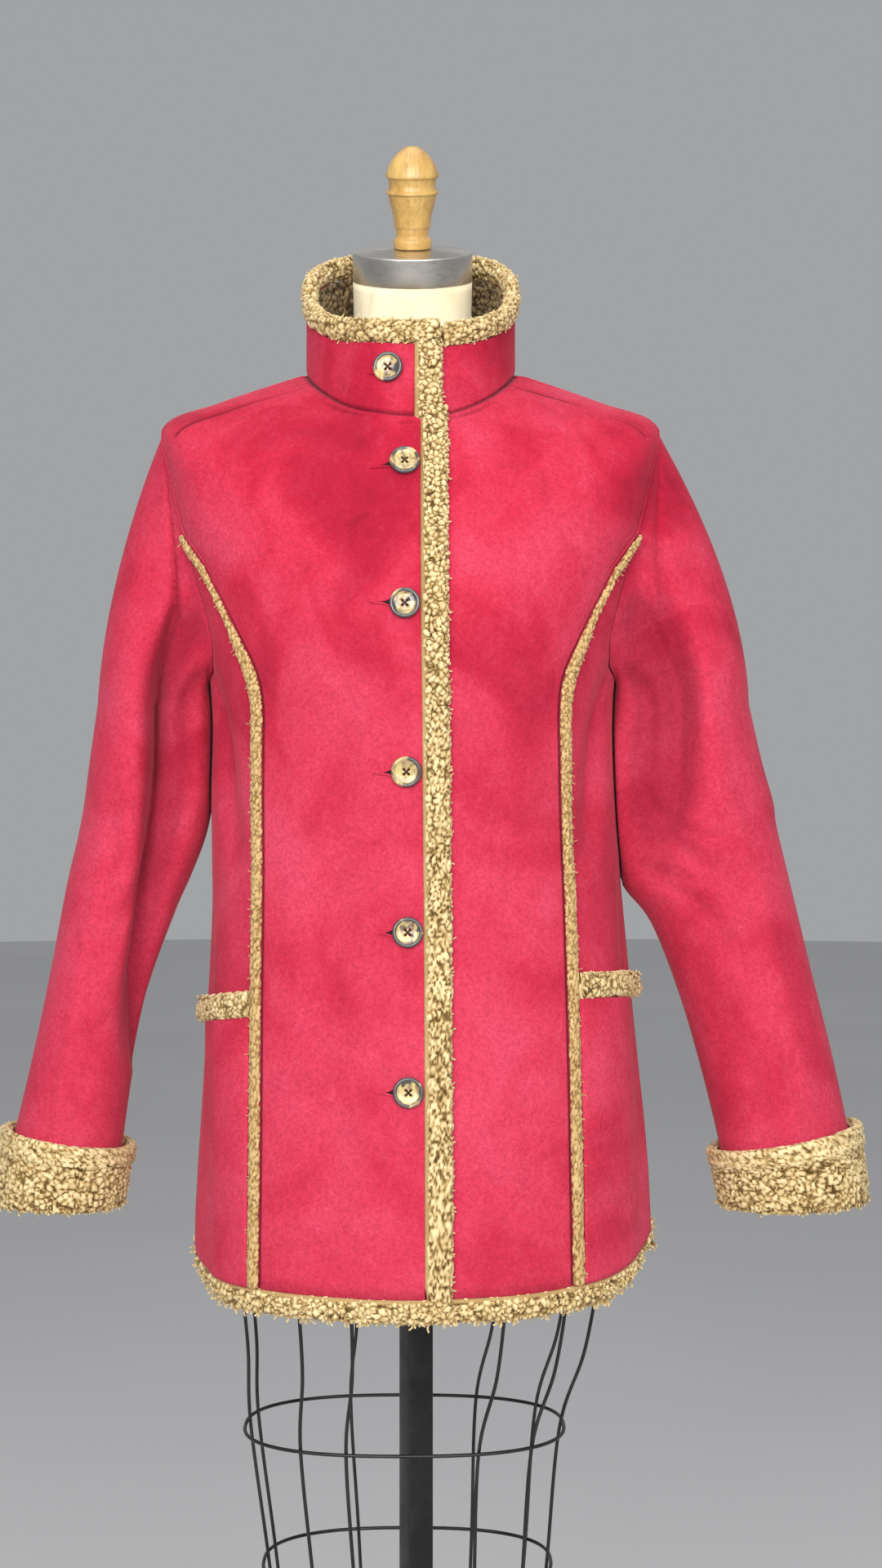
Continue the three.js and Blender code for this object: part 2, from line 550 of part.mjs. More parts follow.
function sideFrontPlaces(side) {
  const columns = SIDE_SEAM_STEP - PRINCESS_STEP;
  const top = Array.from({ length: columns + 1 }, (_, column) => armholePlace(PRINCESS_STEP + column));
  const rows = [{ princess: ARMHOLE[2].level, side: ARMHOLE[6].level }, ...LOWER_ROWS];
  const [topLeft, topRight] = [top[0], top[columns]];
  return rows.map((row, index) => {
    const down = index / (rows.length - 1);
    const left = index === 0 ? topLeft : { angle: princessAngle(row.princess), level: row.princess };
    const right = { angle: topRight.angle, level: row.side };
    const corner = (angle) => {
      const along = Math.min(Math.max((angle - VENT.fromAngle) / (VENT.toAngle - VENT.fromAngle), 0), 1);
      return index === rows.length - 1 ? VENT.rise * (1 - Math.sqrt(1 - along * along)) : 0;
    };
    return top.map((place, column) => {
      const share = column / columns;
      const fade = (1 - smooth(0, 0.45, down)) ** 1.5;
      const bow = (key) => (place[key] - lerp(topLeft[key], topRight[key], share)) * fade;
      const angle = lerp(left.angle, right.angle, share) + bow("angle");
      return { angle: side * angle, level: lerp(left.level, right.level, share) + bow("level") - corner(angle) };
    });
  });
}

// The right front's lift over the left one
function liftAt(place) {
  const { x } = smoothBody(place.angle, place.level);
  return OVERLAP_LIFT * smooth(LIFT_FROM, LIFT_TO, x);
}

const gridAt = (places, offset) =>
  places.map((row) =>
    row.map((place) => bodyPoint(place.angle, place.level, typeof offset === "function" ? offset(place) : offset)),
  );

function panel(name, places, lift, seamLeft, seamRight) {
  const outer = leaveSeams(gridAt(places, (place) => lift(place)), seamLeft, seamRight);
  const inner = leaveSeams(gridAt(places, (place) => lift(place) - CLOTH), seamLeft, seamRight);
  return wall(name, COLOURS.suede, outer, inner);
}

const flat = () => 0;

function jacketPanels() {
  return [
    panel("front_right", frontPlaces(-1, BUTTONHOLE_EDGE), liftAt, false, true),
    panel("front_left", frontPlaces(1, UNDER_EDGE), flat, false, true),
    panel("side_front_right", sideFrontPlaces(-1), flat, true, true),
    panel("side_front_left", sideFrontPlaces(1), flat, true, true),
    panel("back", backPlaces(), flat, true, true),
  ];
}

function princessTrimWidth(down) {
  return lerp(PRINCESS_TRIM.widthTop, PRINCESS_TRIM.widthBottom, Math.min(down * 2, 1));
}

// Sherpa strip beside the princess seam, on the side front's own points
function princessTrim(name, side) {
  const places = sideFrontPlaces(side);
  const sections = places.map((row, index) => {
    const [start, next] = [0, 1].map((column) => bodyPoint(row[column].angle, row[column].level));
    const normal = bodyNormal(row[0].angle, row[0].level);
    const across = next.sub(start);
    const span = across.length();
    across.normalize();
    const taper = index === 0 ? 0.35 : 1;
    const width = Math.min(princessTrimWidth(index / (places.length - 1)) * taper, span - 1);
    const spot = (share, height) =>
      start
        .clone()
        .addScaledVector(across, SEAM_GAP + share * width)
        .addScaledVector(normal, LAYER_GAP + height * PRINCESS_TRIM.height * taper);
    return [spot(0, 0), spot(0.12, 0.75), spot(0.5, 1), spot(0.88, 0.7), spot(1, 0)];
  });
  return loft(name, COLOURS.sherpa, sections);
}

// Sherpa band along the right front's edge, over the left front
function frontBand() {
  const levels = frontOuterEdge().map((edge) => edge.centre);
  const sections = levels.map((level) => {
    const spot = (across, offset) => bodyPoint(angleAcross(across, level), level, offset);
    const [near, far] = [BUTTONHOLE_EDGE + SEAM_GAP, BAND_EDGE];
    const middle = (near + far) / 2;
    const top = LAYER_GAP + FRONT_BAND_HEIGHT;
    return [
      spot(near, LAYER_GAP + 0.4),
      spot(near, top - 0.6),
      spot(near + 4, top + 1),
      spot(middle, top + 1.4),
      spot(far - 3, top + 0.6),
      spot(far, top - 2.5),
      spot(far, LAYER_GAP + 0.6),
      spot(middle, LAYER_GAP + 0.4),
    ];
  });
  return loft("front_band", COLOURS.sherpa, sections);
}

// The places of a row from just beside the princess trim up to a column
function besideTrim(row, end) {
  const [start, next] = [0, 1].map((column) => bodyPoint(row[column].angle, row[column].level));
  const share = (PRINCESS_TRIM.widthBottom + 1) / start.distanceTo(next);
  const first = { angle: lerp(row[0].angle, row[1].angle, share), level: lerp(row[0].level, row[1].level, share) };
  return [first, ...row.slice(share > 0.8 ? 2 : 1, end + 1)];
}

// Patch pocket on the side front, and the sherpa band along its mouth
function pocket(name, side) {
  const places = sideFrontPlaces(side)
    .slice(POCKET_ROW)
    .map((row) => besideTrim(row, POCKET_END));
  const rows = places.length;
  const offset = (extra) => (row, column, columns) => {
    const down = row / (rows - 1);
    const puff = POCKET_PUFF * (1 - down) * Math.sin((Math.PI * column) / (columns - 1)) ** 0.7;
    return LAYER_GAP + puff + extra;
  };
  const grid = (extra) =>
    places.map((row, index) =>
      row.map((place, column) => bodyPoint(place.angle, place.level, offset(extra)(index, column, row.length))),
    );
  return wall(name, COLOURS.suede, grid(POCKET_CLOTH), grid(0));
}

function pocketBand(name, side) {
  const rows = sideFrontPlaces(side).slice(POCKET_BAND_ROW, POCKET_ROW + 1);
  const [upper, lower] = rows.map((row) => besideTrim(row, POCKET_END + 1));
  const sections = upper.map((place, column) => {
    const below = lower[column];
    const level = (share) => lerp(place.level, below.level, share);
    const angle = (share) => lerp(place.angle, below.angle, share);
    const spot = (share, height) => bodyPoint(angle(share), level(share), LAYER_GAP + height);
    const full = POCKET_BAND.height;
    return [spot(-0.05, 0.2), spot(0, full * 0.6), spot(0.3, full), spot(0.75, full), spot(0.94, full * 0.7), spot(0.94, 0.2)];
  });
  const last = sections[sections.length - 1];
  const before = sections[sections.length - 2];
  const onward = last[0].clone().sub(before[0]).normalize();
  sections.push(last.map((point) => point.clone().addScaledVector(onward, POCKET_BAND.overhang)));
  return loft(name, COLOURS.sherpa, sections);
}

// A roll of sherpa along an edge: each stop has the edge's point, the way out of the cloth, the way onward
// past the edge, and the roll's height there
function roll(name, stops, thickness, gap = SEAM_GAP) {
  const sides = 8;
  const sections = stops.map(({ edge, out, onward, height }) =>
    Array.from({ length: sides }, (_, index) => {
      const turn = (2 * Math.PI * index) / sides;
      return edge
        .clone()
        .addScaledVector(onward, gap + height / 2 - (height / 2) * Math.cos(turn))
        .addScaledVector(out, (thickness / 2) * Math.sin(turn));
    }),
  );
  return loft(name, COLOURS.sherpa, sections);
}

// Stops along a row of places, from the wearer's right to the left or onward round the back
function hemStops(places, lift) {
  const edges = places.map((place) => bodyPoint(place.angle, place.level, lift(place) - CLOTH / 2));
  return places.map((place, index) => {
    const out = bodyNormal(place.angle, place.level - 0.05);
    const ahead = edges[Math.min(index + 1, edges.length - 1)];
    const behind = edges[Math.max(index - 1, 0)];
    const onward = ahead.clone().sub(behind).cross(out).normalize();
    const vent = smooth(VENT.fromAngle, HEM_TRIM.stopAngle, Math.abs(wrapAngle(place.angle)));
    const onBack = Math.cos(radians(place.angle)) < 0;
    const height = onBack ? HEM_TRIM.height : lerp(HEM_TRIM.height, HEM_TRIM.ventHeight, vent);
    return { edge: edges[index], out, onward, height };
  });
}

function hemTrims() {
  const bottom = (places) => places[places.length - 1];
  const across = (distance) => ({ angle: angleAcross(distance, HEM_LEVEL), level: HEM_LEVEL });
  const upToStop = (row) => row.filter((place) => Math.abs(place.angle) <= HEM_TRIM.stopAngle);
  const rightSide = upToStop(bottom(sideFrontPlaces(-1))).reverse();
  const rightFront = bottom(frontPlaces(-1, BUTTONHOLE_EDGE)).reverse();
  const leftFront = bottom(frontPlaces(1, UNDER_EDGE)).filter((place) => smoothBody(place.angle, place.level).x > BAND_EDGE + 6);
  const leftSide = upToStop(bottom(sideFrontPlaces(1)));
  const back = bottom(backPlaces());
  const rightPath = [...rightSide.slice(0, -1), ...rightFront, across(BAND_EDGE)];
  const leftPath = [across(BAND_EDGE + 1.5), ...leftFront, ...leftSide.slice(1)];
  back[0] = { ...back[0], angle: back[0].angle + 1 };
  back[back.length - 1] = { ...back[back.length - 1], angle: back[back.length - 1].angle - 1 };
  return [
    roll("hem_trim_right", hemStops(rightPath, liftAt), HEM_TRIM.thickness),
    roll("hem_trim_left", hemStops(leftPath, flat), HEM_TRIM.thickness),
    roll("hem_trim_back", hemStops(back, flat), HEM_TRIM.thickness),
  ];
}

// The collar stands on the neckline. Its angle runs on from the left end, under, to the right end, over.
const NECKLINE = BODY_RINGS[0];

function collarRing(height) {
  return Object.fromEntries(RING_COLUMNS.map((column) => [column, lerp(NECKLINE[column], COLLAR_TOP[column], height)]));
}

function collarFrame(angle, height) {
  const point = ringPoint(collarRing(height), angle);
  point.x += COLLAR_SWAY;
  const along = ringPoint(collarRing(height), angle + 1).sub(ringPoint(collarRing(height), angle - 1));
  const up = ringPoint(collarRing(height + 0.05), angle).sub(ringPoint(collarRing(height - 0.05), angle)).normalize();
  const out = along.cross(up).normalize();
  const lift = angle > 180 ? OVERLAP_LIFT * smooth(360 - 44, 360 - 16, angle) : 0;
  point.z += COLLAR_CLEARANCE.plain + COLLAR_CLEARANCE.perLift * lift;
  return { point, up, out, lift };
}

function collarPoint(angle, height, offset) {
  const { point, out, lift } = collarFrame(angle, height);
  return point.addScaledVector(out, offset + lift);
}

function collarAngle(across, height) {
  return THREE.MathUtils.radToDeg(Math.asin(across / collarRing(height).halfWidth));
}

function collarAngles(first, last, steps) {
  return Array.from({ length: steps + 1 }, (_, step) => lerp(first, last, step / steps));
}

function collarWall(name, colour, angles, heights, outerOffset, innerOffset) {
  const grid = (offset) => heights.map((height) => angles.map((angle) => collarPoint(angle, height, offset)));
  return wall(name, colour, grid(outerOffset), grid(innerOffset));
}

function collar() {
  const steps = 34;
  const [under, over] = [collarAngle(UNDER_EDGE, 0.5), 360 + collarAngle(COLLAR_EDGE, 0.5)];
  const stand = collarWall("collar", COLOURS.suede, collarAngles(under, over, steps), [0, 0.5, 1], 0, -CLOTH);
  const liningStart = 24;
  const liningOffset = -CLOTH - 0.8;
  const lining = collarWall(
    "collar_lining",
    COLOURS.lining,
    collarAngles(liningStart, 360 - liningStart, 32),
    [1 - LINING_DEPTH, 1 - LINING_DEPTH / 2, 1],
    liningOffset,
    liningOffset - COLLAR_LINING,
  );
  const rollStart = collarAngle(COLLAR_BAND_EDGE + 2, 1);
  const rollEnd = 360 + collarAngle(COLLAR_BAND_EDGE, 1);
  const path = collarAngles(rollStart, rollEnd, steps).map((angle) => {
    const frame = collarFrame(angle, 1);
    const edge = collarPoint(angle, 1, -CLOTH / 2 - 0.6);
    return { edge, out: frame.out, onward: frame.up, height: COLLAR_ROLL.height };
  });
  return [stand, lining, roll("collar_trim", path, COLLAR_ROLL.thickness, 1.1)];
}

// The band's upper stretch, on the collar's edge
function collarBand() {
  const heights = [0.14, 0.4, 0.7, 0.97];
  const sections = heights.map((height) => {
    const spot = (across, offset) => {
      const frame = collarFrame(collarAngle(across, height), height);
      return frame.point.addScaledVector(frame.out, offset);
    };
    const [near, far] = [COLLAR_EDGE + SEAM_GAP, COLLAR_BAND_EDGE];
    const middle = (near + far) / 2;
    const top = LAYER_GAP + FRONT_BAND_HEIGHT;
    return [
      spot(near, LAYER_GAP + 0.4),
      spot(near, top - 0.6),
      spot(middle, top + 1),
      spot(far, top - 2),
      spot(far, LAYER_GAP + 0.6),
      spot(middle, LAYER_GAP + 0.4),
    ];
  });
  return loft("collar_band", COLOURS.sherpa, sections);
}

// Sleeves
function sleeveRing(rows, index, side, grow = 0, foldAt = () => 0) {
  const row = rows[index];
  const above = rows[Math.max(index - 1, 0)];
  const below = rows[Math.min(index + 1, rows.length - 1)];
  const axis = new THREE.Vector3(side * (below.across - above.across), below.forward - above.forward, below.height - above.height);
  axis.normalize().lerp(new THREE.Vector3(0, 0, -1), row.level).normalize();
  const depthwise = new THREE.Vector3(0, -1, 0);
  const outward = depthwise.clone().cross(axis).multiplyScalar(side).normalize();
  const centre = new THREE.Vector3(side * row.across, row.forward, row.height);
  const points = Array.from({ length: ARMHOLE_STEPS }, (_, step) => {
    const turn = (360 * step) / ARMHOLE_STEPS;
    const trough = foldAt(turn);
    const reach = (half) => half + grow - trough;
    return centre
      .clone()
      .addScaledVector(outward, reach(row.halfWidth) * Math.cos(radians(turn)))
      .addScaledVector(depthwise, reach(row.halfDepth) * Math.sin(radians(turn)));
  });
  return { points, centre, axis };
}

function armholeLoop(side) {
  const places = Array.from({ length: ARMHOLE_STEPS }, (_, step) => armholePlace(step));
  const outer = places.map((place) => bodyPoint(side * place.angle, place.level));
  const normals = places.map((place) => bodyNormal(side * place.angle, place.level));
  const inner = outer.map((point, step) => point.clone().addScaledVector(normals[step], -CLOTH));
  const leave = outer.map((_, step) => {
    const ahead = outer[(step + 1) % ARMHOLE_STEPS];
    const behind = outer[(step + ARMHOLE_STEPS - 1) % ARMHOLE_STEPS];
    return normals[step].clone().cross(ahead.clone().sub(behind)).multiplyScalar(side).normalize();
  });
  return { outer, inner, normals, leave };
}

function towardsCentre(points, thickness) {
  const centre = points.reduce((sum, point) => sum.add(point), new THREE.Vector3()).divideScalar(points.length);
  return points.map((point) => point.clone().addScaledVector(centre.clone().sub(point).normalize(), thickness));
}

function keepOffBody(points, side) {
  points.forEach((point) => {
    const reach = bodyReach(point.y, point.z, side) + BODY_CLEARANCE;
    if (side * point.x < reach) point.x = side * reach;
  });
}

function sleeveRows(rows, side, folds) {
  const loop = armholeLoop(side);
  const foldAt = (row) => (turn) => troughDepth(folds, row, turn);
  const headRows = SLEEVE_HEAD_STEPS.length;
  const first = sleeveRing(rows, 0, side, 0, foldAt(headRows + 1));
  const starts = loop.outer.map((point, step) => point.clone().addScaledVector(loop.leave[step], ARMHOLE_GAP));
  const head = SLEEVE_HEAD_STEPS.map((share, index) => {
    const points = starts.map((start, step) => {
      const upness = (1 + Math.cos((2 * Math.PI * step) / ARMHOLE_STEPS)) / 2;
      const leaveBy = lerp(HEAD.leaveBottom, HEAD.leaveTop, upness ** 0.7);
      const arriveBy = lerp(HEAD.arriveBottom, HEAD.arriveTop, upness ** 1.2);
      const clear = HEAD.clearBottom * (1 - upness) ** 2;
      const leave = start
        .clone()
        .addScaledVector(loop.leave[step], leaveBy)
        .addScaledVector(loop.normals[step], clear);
      const end = first.points[step];
      const arrive = end.clone().addScaledVector(first.axis, -arriveBy);
      return new THREE.CubicBezierCurve3(start, leave, arrive, end).getPoint(share);
    });
    const centre = points.reduce((sum, point) => sum.add(point), new THREE.Vector3()).divideScalar(points.length);
    return points.map((point, step) => {
      const trough = foldAt(index + 1)((360 * step) / ARMHOLE_STEPS);
      return point.addScaledVector(centre.clone().sub(point).normalize(), trough);
    });
  });
  const lower = rows.map((_, index) => sleeveRing(rows, index, side, 0, foldAt(headRows + 1 + index)).points);
  [...head.slice(1), ...lower].forEach((points) => keepOffBody(points, side));
  const startInner = loop.inner.map((point, step) => point.clone().addScaledVector(loop.leave[step], ARMHOLE_GAP));
  const outer = [starts, ...head, ...lower];
  const inner = [startInner, ...outer.slice(1).map((points) => towardsCentre(points, CLOTH))];
  return { outer, inner };
}

function sleeveAndCuff(word, rows, side) {
  const { outer, inner } = sleeveRows(rows, side, SLEEVE_FOLDS[word]);
  const cuffRings = rows.slice(CUFF_RING).map((_, index, all) => {
    const down = index / (all.length - 1);
    const gap = lerp(CUFF.gapTop, CUFF.gapBottom, down);
    const ring = sleeveRing(rows, CUFF_RING + index, side, gap);
    const shift = down === 0 ? -CUFF.above : down === 1 ? CUFF.below : 0;
    const place = (grow) =>
      sleeveRing(rows, CUFF_RING + index, side, grow).points.map((point) => point.addScaledVector(ring.axis, shift));
    return { outer: place(gap + CUFF.wall), inner: place(gap) };
  });
  const cuff = wall(
    `cuff_${word}`,
    COLOURS.sherpa,
    cuffRings.map((ring) => ring.outer),
    cuffRings.map((ring) => ring.inner),
    true,
  );
  return [wall(`sleeve_${word}`, COLOURS.suede, outer, inner, true), cuff];
}

// Buttons: a rimmed, dished disc with four holes
function asManifold(geometry) {
  const bare = geometry.clone();
  bare.deleteAttribute("normal");
  bare.deleteAttribute("uv");
  const merged = mergeVertices(bare, 1e-4);
  const mesh = { numProp: 3, vertProperties: merged.attributes.position.array, triVerts: new Uint32Array(merged.index.array) };
  return new wasm.Manifold(new wasm.Mesh(mesh));
}

function fromManifold(made) {
  const mesh = made.getMesh();
  const geometry = new THREE.BufferGeometry();
  geometry.setAttribute("position", new THREE.BufferAttribute(mesh.vertProperties, 3));
  geometry.setIndex(new THREE.BufferAttribute(mesh.triVerts, 1));
  return geometry;
}

function buttonGeometry() {
  const { radius, thickness, rimWidth, dish, holeRadius, holeSpacing } = BUTTON;
  const outline = [
    [0, 0],
    [radius - 1.5, 0],
    [radius, 1.3],
    [radius - 0.5, thickness - 0.4],
    [radius - 1.6, thickness],
    [radius - rimWidth, thickness - dish],
    [0, thickness - dish],
  ].map(([x, y]) => new THREE.Vector2(x, y));
  let made = asManifold(new THREE.LatheGeometry(outline, 16));
  for (const x of [-1, 1]) {
    for (const z of [-1, 1]) {
      const drill = new THREE.CylinderGeometry(holeRadius, holeRadius, 3 * thickness, 6);
      drill.translate((x * holeSpacing) / 2, 0, (z * holeSpacing) / 2);
      made = made.subtract(asManifold(drill));
    }
  }
  return fromManifold(made);
}

function levelAtHeight(height) {
  let [low, high] = [0, HEM_LEVEL];
  for (let step = 0; step < 40; step += 1) {
    const middle = (low + high) / 2;
    if (ringAt(BODY_RINGS, middle).front > height) low = middle;
    else high = middle;
  }
  return low;
}

function buttons() {
  const geometry = buttonGeometry();
  const up = new THREE.Vector3(0, 1, 0);
  return BUTTONS.map(({ name, across, height, onCollar }) => {
    const mesh = meshOf(name, geometry, COLOURS.button, 0.3);
    let seat;
    let out;
    if (onCollar) {
      const share = (height - NECKLINE.front) / (COLLAR_TOP.front - NECKLINE.front);
      const frame = collarFrame(360 + collarAngle(across, share), share);
      out = frame.out;
      seat = frame.point.addScaledVector(out, frame.lift);
    } else {
      const level = levelAtHeight(height);
      const angle = angleAcross(across, level);
      out = bodyNormal(angle, level);
      seat = bodyPoint(angle, level, liftAt({ angle, level }));
    }
    mesh.position.copy(seat.addScaledVector(out, LAYER_GAP));
    mesh.quaternion.setFromUnitVectors(up, out);
    return mesh;
  });
}

// Dress form
function torso() {
  const angles = Array.from({ length: FORM_COLUMNS }, (_, column) => (360 * column) / FORM_COLUMNS);
  const around = (ring) => angles.map((angle) => ringPoint(ring, angle));
  const shoulder = FORM_SHOULDER.map(({ level, clearance }) =>
    angles.map((angle) => smoothBody(angle, level).addScaledVector(bodyNormal(angle, level), -CLOTH - clearance)),
  );
  const sections = [...FORM_RINGS_NECK.map(around), ...shoulder, ...FORM_RINGS_BODY.map(around)];
  return loft("form_torso", COLOURS.linen, sections, false, 0.85);
}

function onNeck(mesh, lift) {
  const turn = new THREE.Quaternion().setFromAxisAngle(new THREE.Vector3(1, 0, 0), radians(90 + NECK_LEAN));
  mesh.quaternion.copy(turn);
  mesh.position.set(...CAP.centre).addScaledVector(new THREE.Vector3(0, 1, 0).applyQuaternion(turn), lift);
  return mesh;
}

function neckCap() {
  const { radius, height, edge, dome } = CAP;
  const outline = [
    [0, -height],
    [radius, -height],
    [radius, -edge],
    [radius - 0.8, -0.7],
    [radius - edge, 0],
    [radius / 2, dome * 0.7],
    [0, dome],
  ].map(([x, y]) => new THREE.Vector2(x, y));
  return onNeck(meshOf("form_cap", new THREE.LatheGeometry(outline, 24), COLOURS.steel, 0.3, 1), 0);
}

function finial() {
  const outline = FINIAL_OUTLINE.map(({ height, radius }) => new THREE.Vector2(radius, height));
  outline.unshift(new THREE.Vector2(0, 0));
  outline.push(new THREE.Vector2(0, FINIAL_OUTLINE[FINIAL_OUTLINE.length - 1].height + 0.3));
  return onNeck(meshOf("form_finial", new THREE.LatheGeometry(outline, 16), COLOURS.gilt, 0.35), CAP.dome + SEAM_GAP);
}

function cagePoint(oval, angle, grow) {
  const power = 2 / CAGE_ROUNDNESS;
  const sine = Math.sin(radians(angle));
  const cosine = Math.cos(radians(angle));
  return new THREE.Vector3(
    oval.across + (oval.halfWidth + grow) * Math.sign(sine) * Math.abs(sine) ** power,
    CAGE_BACK - (oval.halfDepth + grow) * Math.sign(cosine) * Math.abs(cosine) ** power,
    oval.height,
  );
}

function cage() {
  const section = new THREE.Shape().absarc(0, 0, WIRE / 2, 0, 2 * Math.PI);
  const wires = CAGE_ANGLES.map((angle, index) => {
    const curve = new THREE.CatmullRomCurve3(CAGE_OVALS.map((oval) => cagePoint(oval, angle, 0)), false, "centripetal");
    const geometry = new THREE.ExtrudeGeometry(section, { extrudePath: curve, steps: 8, curveSegments: 3 });
    return meshOf(`cage_wire_${index + 1}`, geometry, COLOURS.black, 0.35, 0.6);
  });
  const hoops = CAGE_OVALS.slice(FIRST_HOOP).map((oval, index) => {
    const count = 36;
    const sections = Array.from({ length: count }, (_, step) => {
      const angle = (360 * step) / count + 0.01;
      const centre = cagePoint(oval, angle, WIRE + 0.5);
      const ahead = cagePoint(oval, angle + 2, WIRE + 0.5).sub(cagePoint(oval, angle - 2, WIRE + 0.5)).normalize();
      const out = ahead.clone().cross(new THREE.Vector3(0, 0, 1));
      return Array.from({ length: 6 }, (__, corner) => {
        const turn = (2 * Math.PI * corner) / 6;
        return centre
          .clone()
          .addScaledVector(out, (WIRE / 2) * Math.cos(turn))
          .addScaledVector(new THREE.Vector3(0, 0, 1), (WIRE / 2) * Math.sin(turn));
      });
    });
    return loft(`cage_hoop_${index + 1}`, COLOURS.black, sections, true, 0.35, 0.6);
  });
  return [...wires, ...hoops];
}

function stand() {
  const underside = FORM_RINGS_BODY[FORM_RINGS_BODY.length - 1].front;
  const flangeTop = underside - SEAM_GAP;
  const flange = meshOf("pole_flange", new THREE.CylinderGeometry(FLANGE.radius, FLANGE.radius, FLANGE.thickness, 24), COLOURS.black, 0.4, 0.6);
  flange.rotation.x = Math.PI / 2;
  flange.position.z = flangeTop - FLANGE.thickness / 2;
  const poleTop = flangeTop - FLANGE.thickness - SEAM_GAP;
  const poleBottom = BASE.thickness + BASE.slope + BASE.hubHeight + SEAM_GAP;
  const pole = meshOf("pole", new THREE.BoxGeometry(POLE.side, POLE.side, poleTop - poleBottom), COLOURS.black, 0.4, 0.6);
  pole.rotation.z = radians(POLE.turn);
  pole.position.z = (poleTop + poleBottom) / 2;
  const hubTop = BASE.thickness + BASE.slope + BASE.hubHeight;
  const outline = [
    [0, 0],
    [BASE.radius, 0],
    [BASE.radius, BASE.thickness - BASE.edge],
    [BASE.radius - BASE.edge, BASE.thickness],
    [BASE.hubRadius + 30, BASE.thickness + BASE.slope * 0.7],
    [BASE.hubRadius + 4, BASE.thickness + BASE.slope],
    [BASE.hubRadius, BASE.thickness + BASE.slope + 6],
    [BASE.hubRadius - 4, hubTop - 2],
    [BASE.hubRadius - 6, hubTop],
    [0, hubTop],
  ].map(([x, y]) => new THREE.Vector2(x, y));
  const base = meshOf("base", new THREE.LatheGeometry(outline, 32), COLOURS.black, 0.5, 0.5);
  base.rotation.x = Math.PI / 2;
  return [flange, pole, base].map((mesh) => mesh.translateX(STAND_ACROSS));
}

const jacket = new THREE.Group();
jacket.add(
  ...jacketPanels(),
  princessTrim("princess_trim_right", -1),
  princessTrim("princess_trim_left", 1),
  frontBand(),
  collarBand(),
  pocket("pocket_right", -1),
  pocket("pocket_left", 1),
  pocketBand("pocket_band_right", -1),
  pocketBand("pocket_band_left", 1),
  ...hemTrims(),
  ...collar(),
  ...sleeveAndCuff("right", RIGHT_SLEEVE, -1),
  ...sleeveAndCuff("left", LEFT_SLEEVE, 1),
  ...buttons(),
);

const dressForm = new THREE.Group();
dressForm.add(torso(), neckCap(), finial(), ...cage(), ...stand());

const group = new THREE.Group();
group.add(jacket, dressForm);
group.position.x = -STAND_ACROSS; // the origin is the middle of the base

export default group;
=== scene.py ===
"""Looks of a sherpa lined suede-cloth jacket on a dress form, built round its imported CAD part.

The surfaces are made in millimetres from the same measures as the part, and placed in metres.
Angles run round the body: 0 is the centre front, 90 the wearer's left side, 180 the centre back.
Levels run down it: 0 is the neckline and 12 the hem.
"""

import math

import bpy
import numpy as np
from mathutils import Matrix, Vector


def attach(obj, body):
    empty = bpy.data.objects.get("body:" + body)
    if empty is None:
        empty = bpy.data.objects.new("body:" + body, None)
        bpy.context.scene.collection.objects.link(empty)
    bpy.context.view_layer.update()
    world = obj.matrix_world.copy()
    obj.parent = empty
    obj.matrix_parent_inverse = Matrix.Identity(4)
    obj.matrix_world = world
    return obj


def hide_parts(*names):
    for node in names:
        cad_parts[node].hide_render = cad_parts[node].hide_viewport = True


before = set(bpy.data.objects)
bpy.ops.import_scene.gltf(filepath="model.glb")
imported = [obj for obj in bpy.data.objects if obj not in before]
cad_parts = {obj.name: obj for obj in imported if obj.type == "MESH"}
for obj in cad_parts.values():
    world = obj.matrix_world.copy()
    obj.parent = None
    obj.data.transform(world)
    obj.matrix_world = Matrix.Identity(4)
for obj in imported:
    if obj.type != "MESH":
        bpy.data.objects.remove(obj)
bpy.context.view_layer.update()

METRES = 0.001
ACROSS_SHIFT = -3.0  # the jacket's middle stands this far from the pole

# ---------------------------------------------------------------- camera, light and floor
camera_data = bpy.data.cameras.new("camera")
camera_data.lens = 52
camera_data.sensor_width = 36
camera_data.clip_end = 100
camera = bpy.data.objects.new("camera", camera_data)
camera.location = (0.021, -1.913, 1.085)
camera.rotation_euler = (math.radians(90), 0, 0)
bpy.context.scene.collection.objects.link(camera)
bpy.context.scene.camera = camera


# ---------------------------------------------------------------- measures
def table(names, *rows):
    return {name: np.array(column, float) for name, column in zip(names.split(), zip(*rows))}


RING = "front side back half_width front_depth back_depth roundness dip"
BODY = table(
    RING + " sway swing",
    (1379, 1431, 1460, 88, 96, 72, 2.0, 1.4, -1.5, 0),
    (1362, 1419, 1443, 122, 103, 80, 2.05, 1.7, -1.5, 0),
    (1339, 1404, 1418, 162, 112, 90, 2.2, 2.0, -1.4, 0),
    (1310, 1384, 1384, 207, 123, 100, 2.5, 2.0, -1.3, 0),
    (1275, 1335, 1340, 204, 135, 107, 2.6, 2.0, -1.1, 0),
    (1240, 1268, 1288, 191, 145, 110, 2.55, 2.0, -0.9, 0),
    (1196, 1206, 1225, 175, 149, 110, 2.4, 2.0, -0.6, 0),
    (1145, 1145, 1150, 168, 146, 106, 2.25, 2.0, 0, 0),
    (1075, 1075, 1075, 169.5, 141, 100, 2.2, 2.0, 0.5, 0),
    (995, 995, 995, 172, 139, 102, 2.3, 2.0, 1.2, 2.5),
    (905, 905, 905, 178, 144, 118, 2.3, 2.0, 1.8, 3.6),
    (800, 803, 800, 185, 152, 136, 2.3, 1.4, 2.2, 6.2),
    (686, 706, 690, 190, 160, 150, 2.3, 0.6, 2.5, 7.5),
)
HEM_LEVEL = 12
SKEW_RISE, SKEW_AT_HEM, SKEW_ACROSS = 10, 6, 170
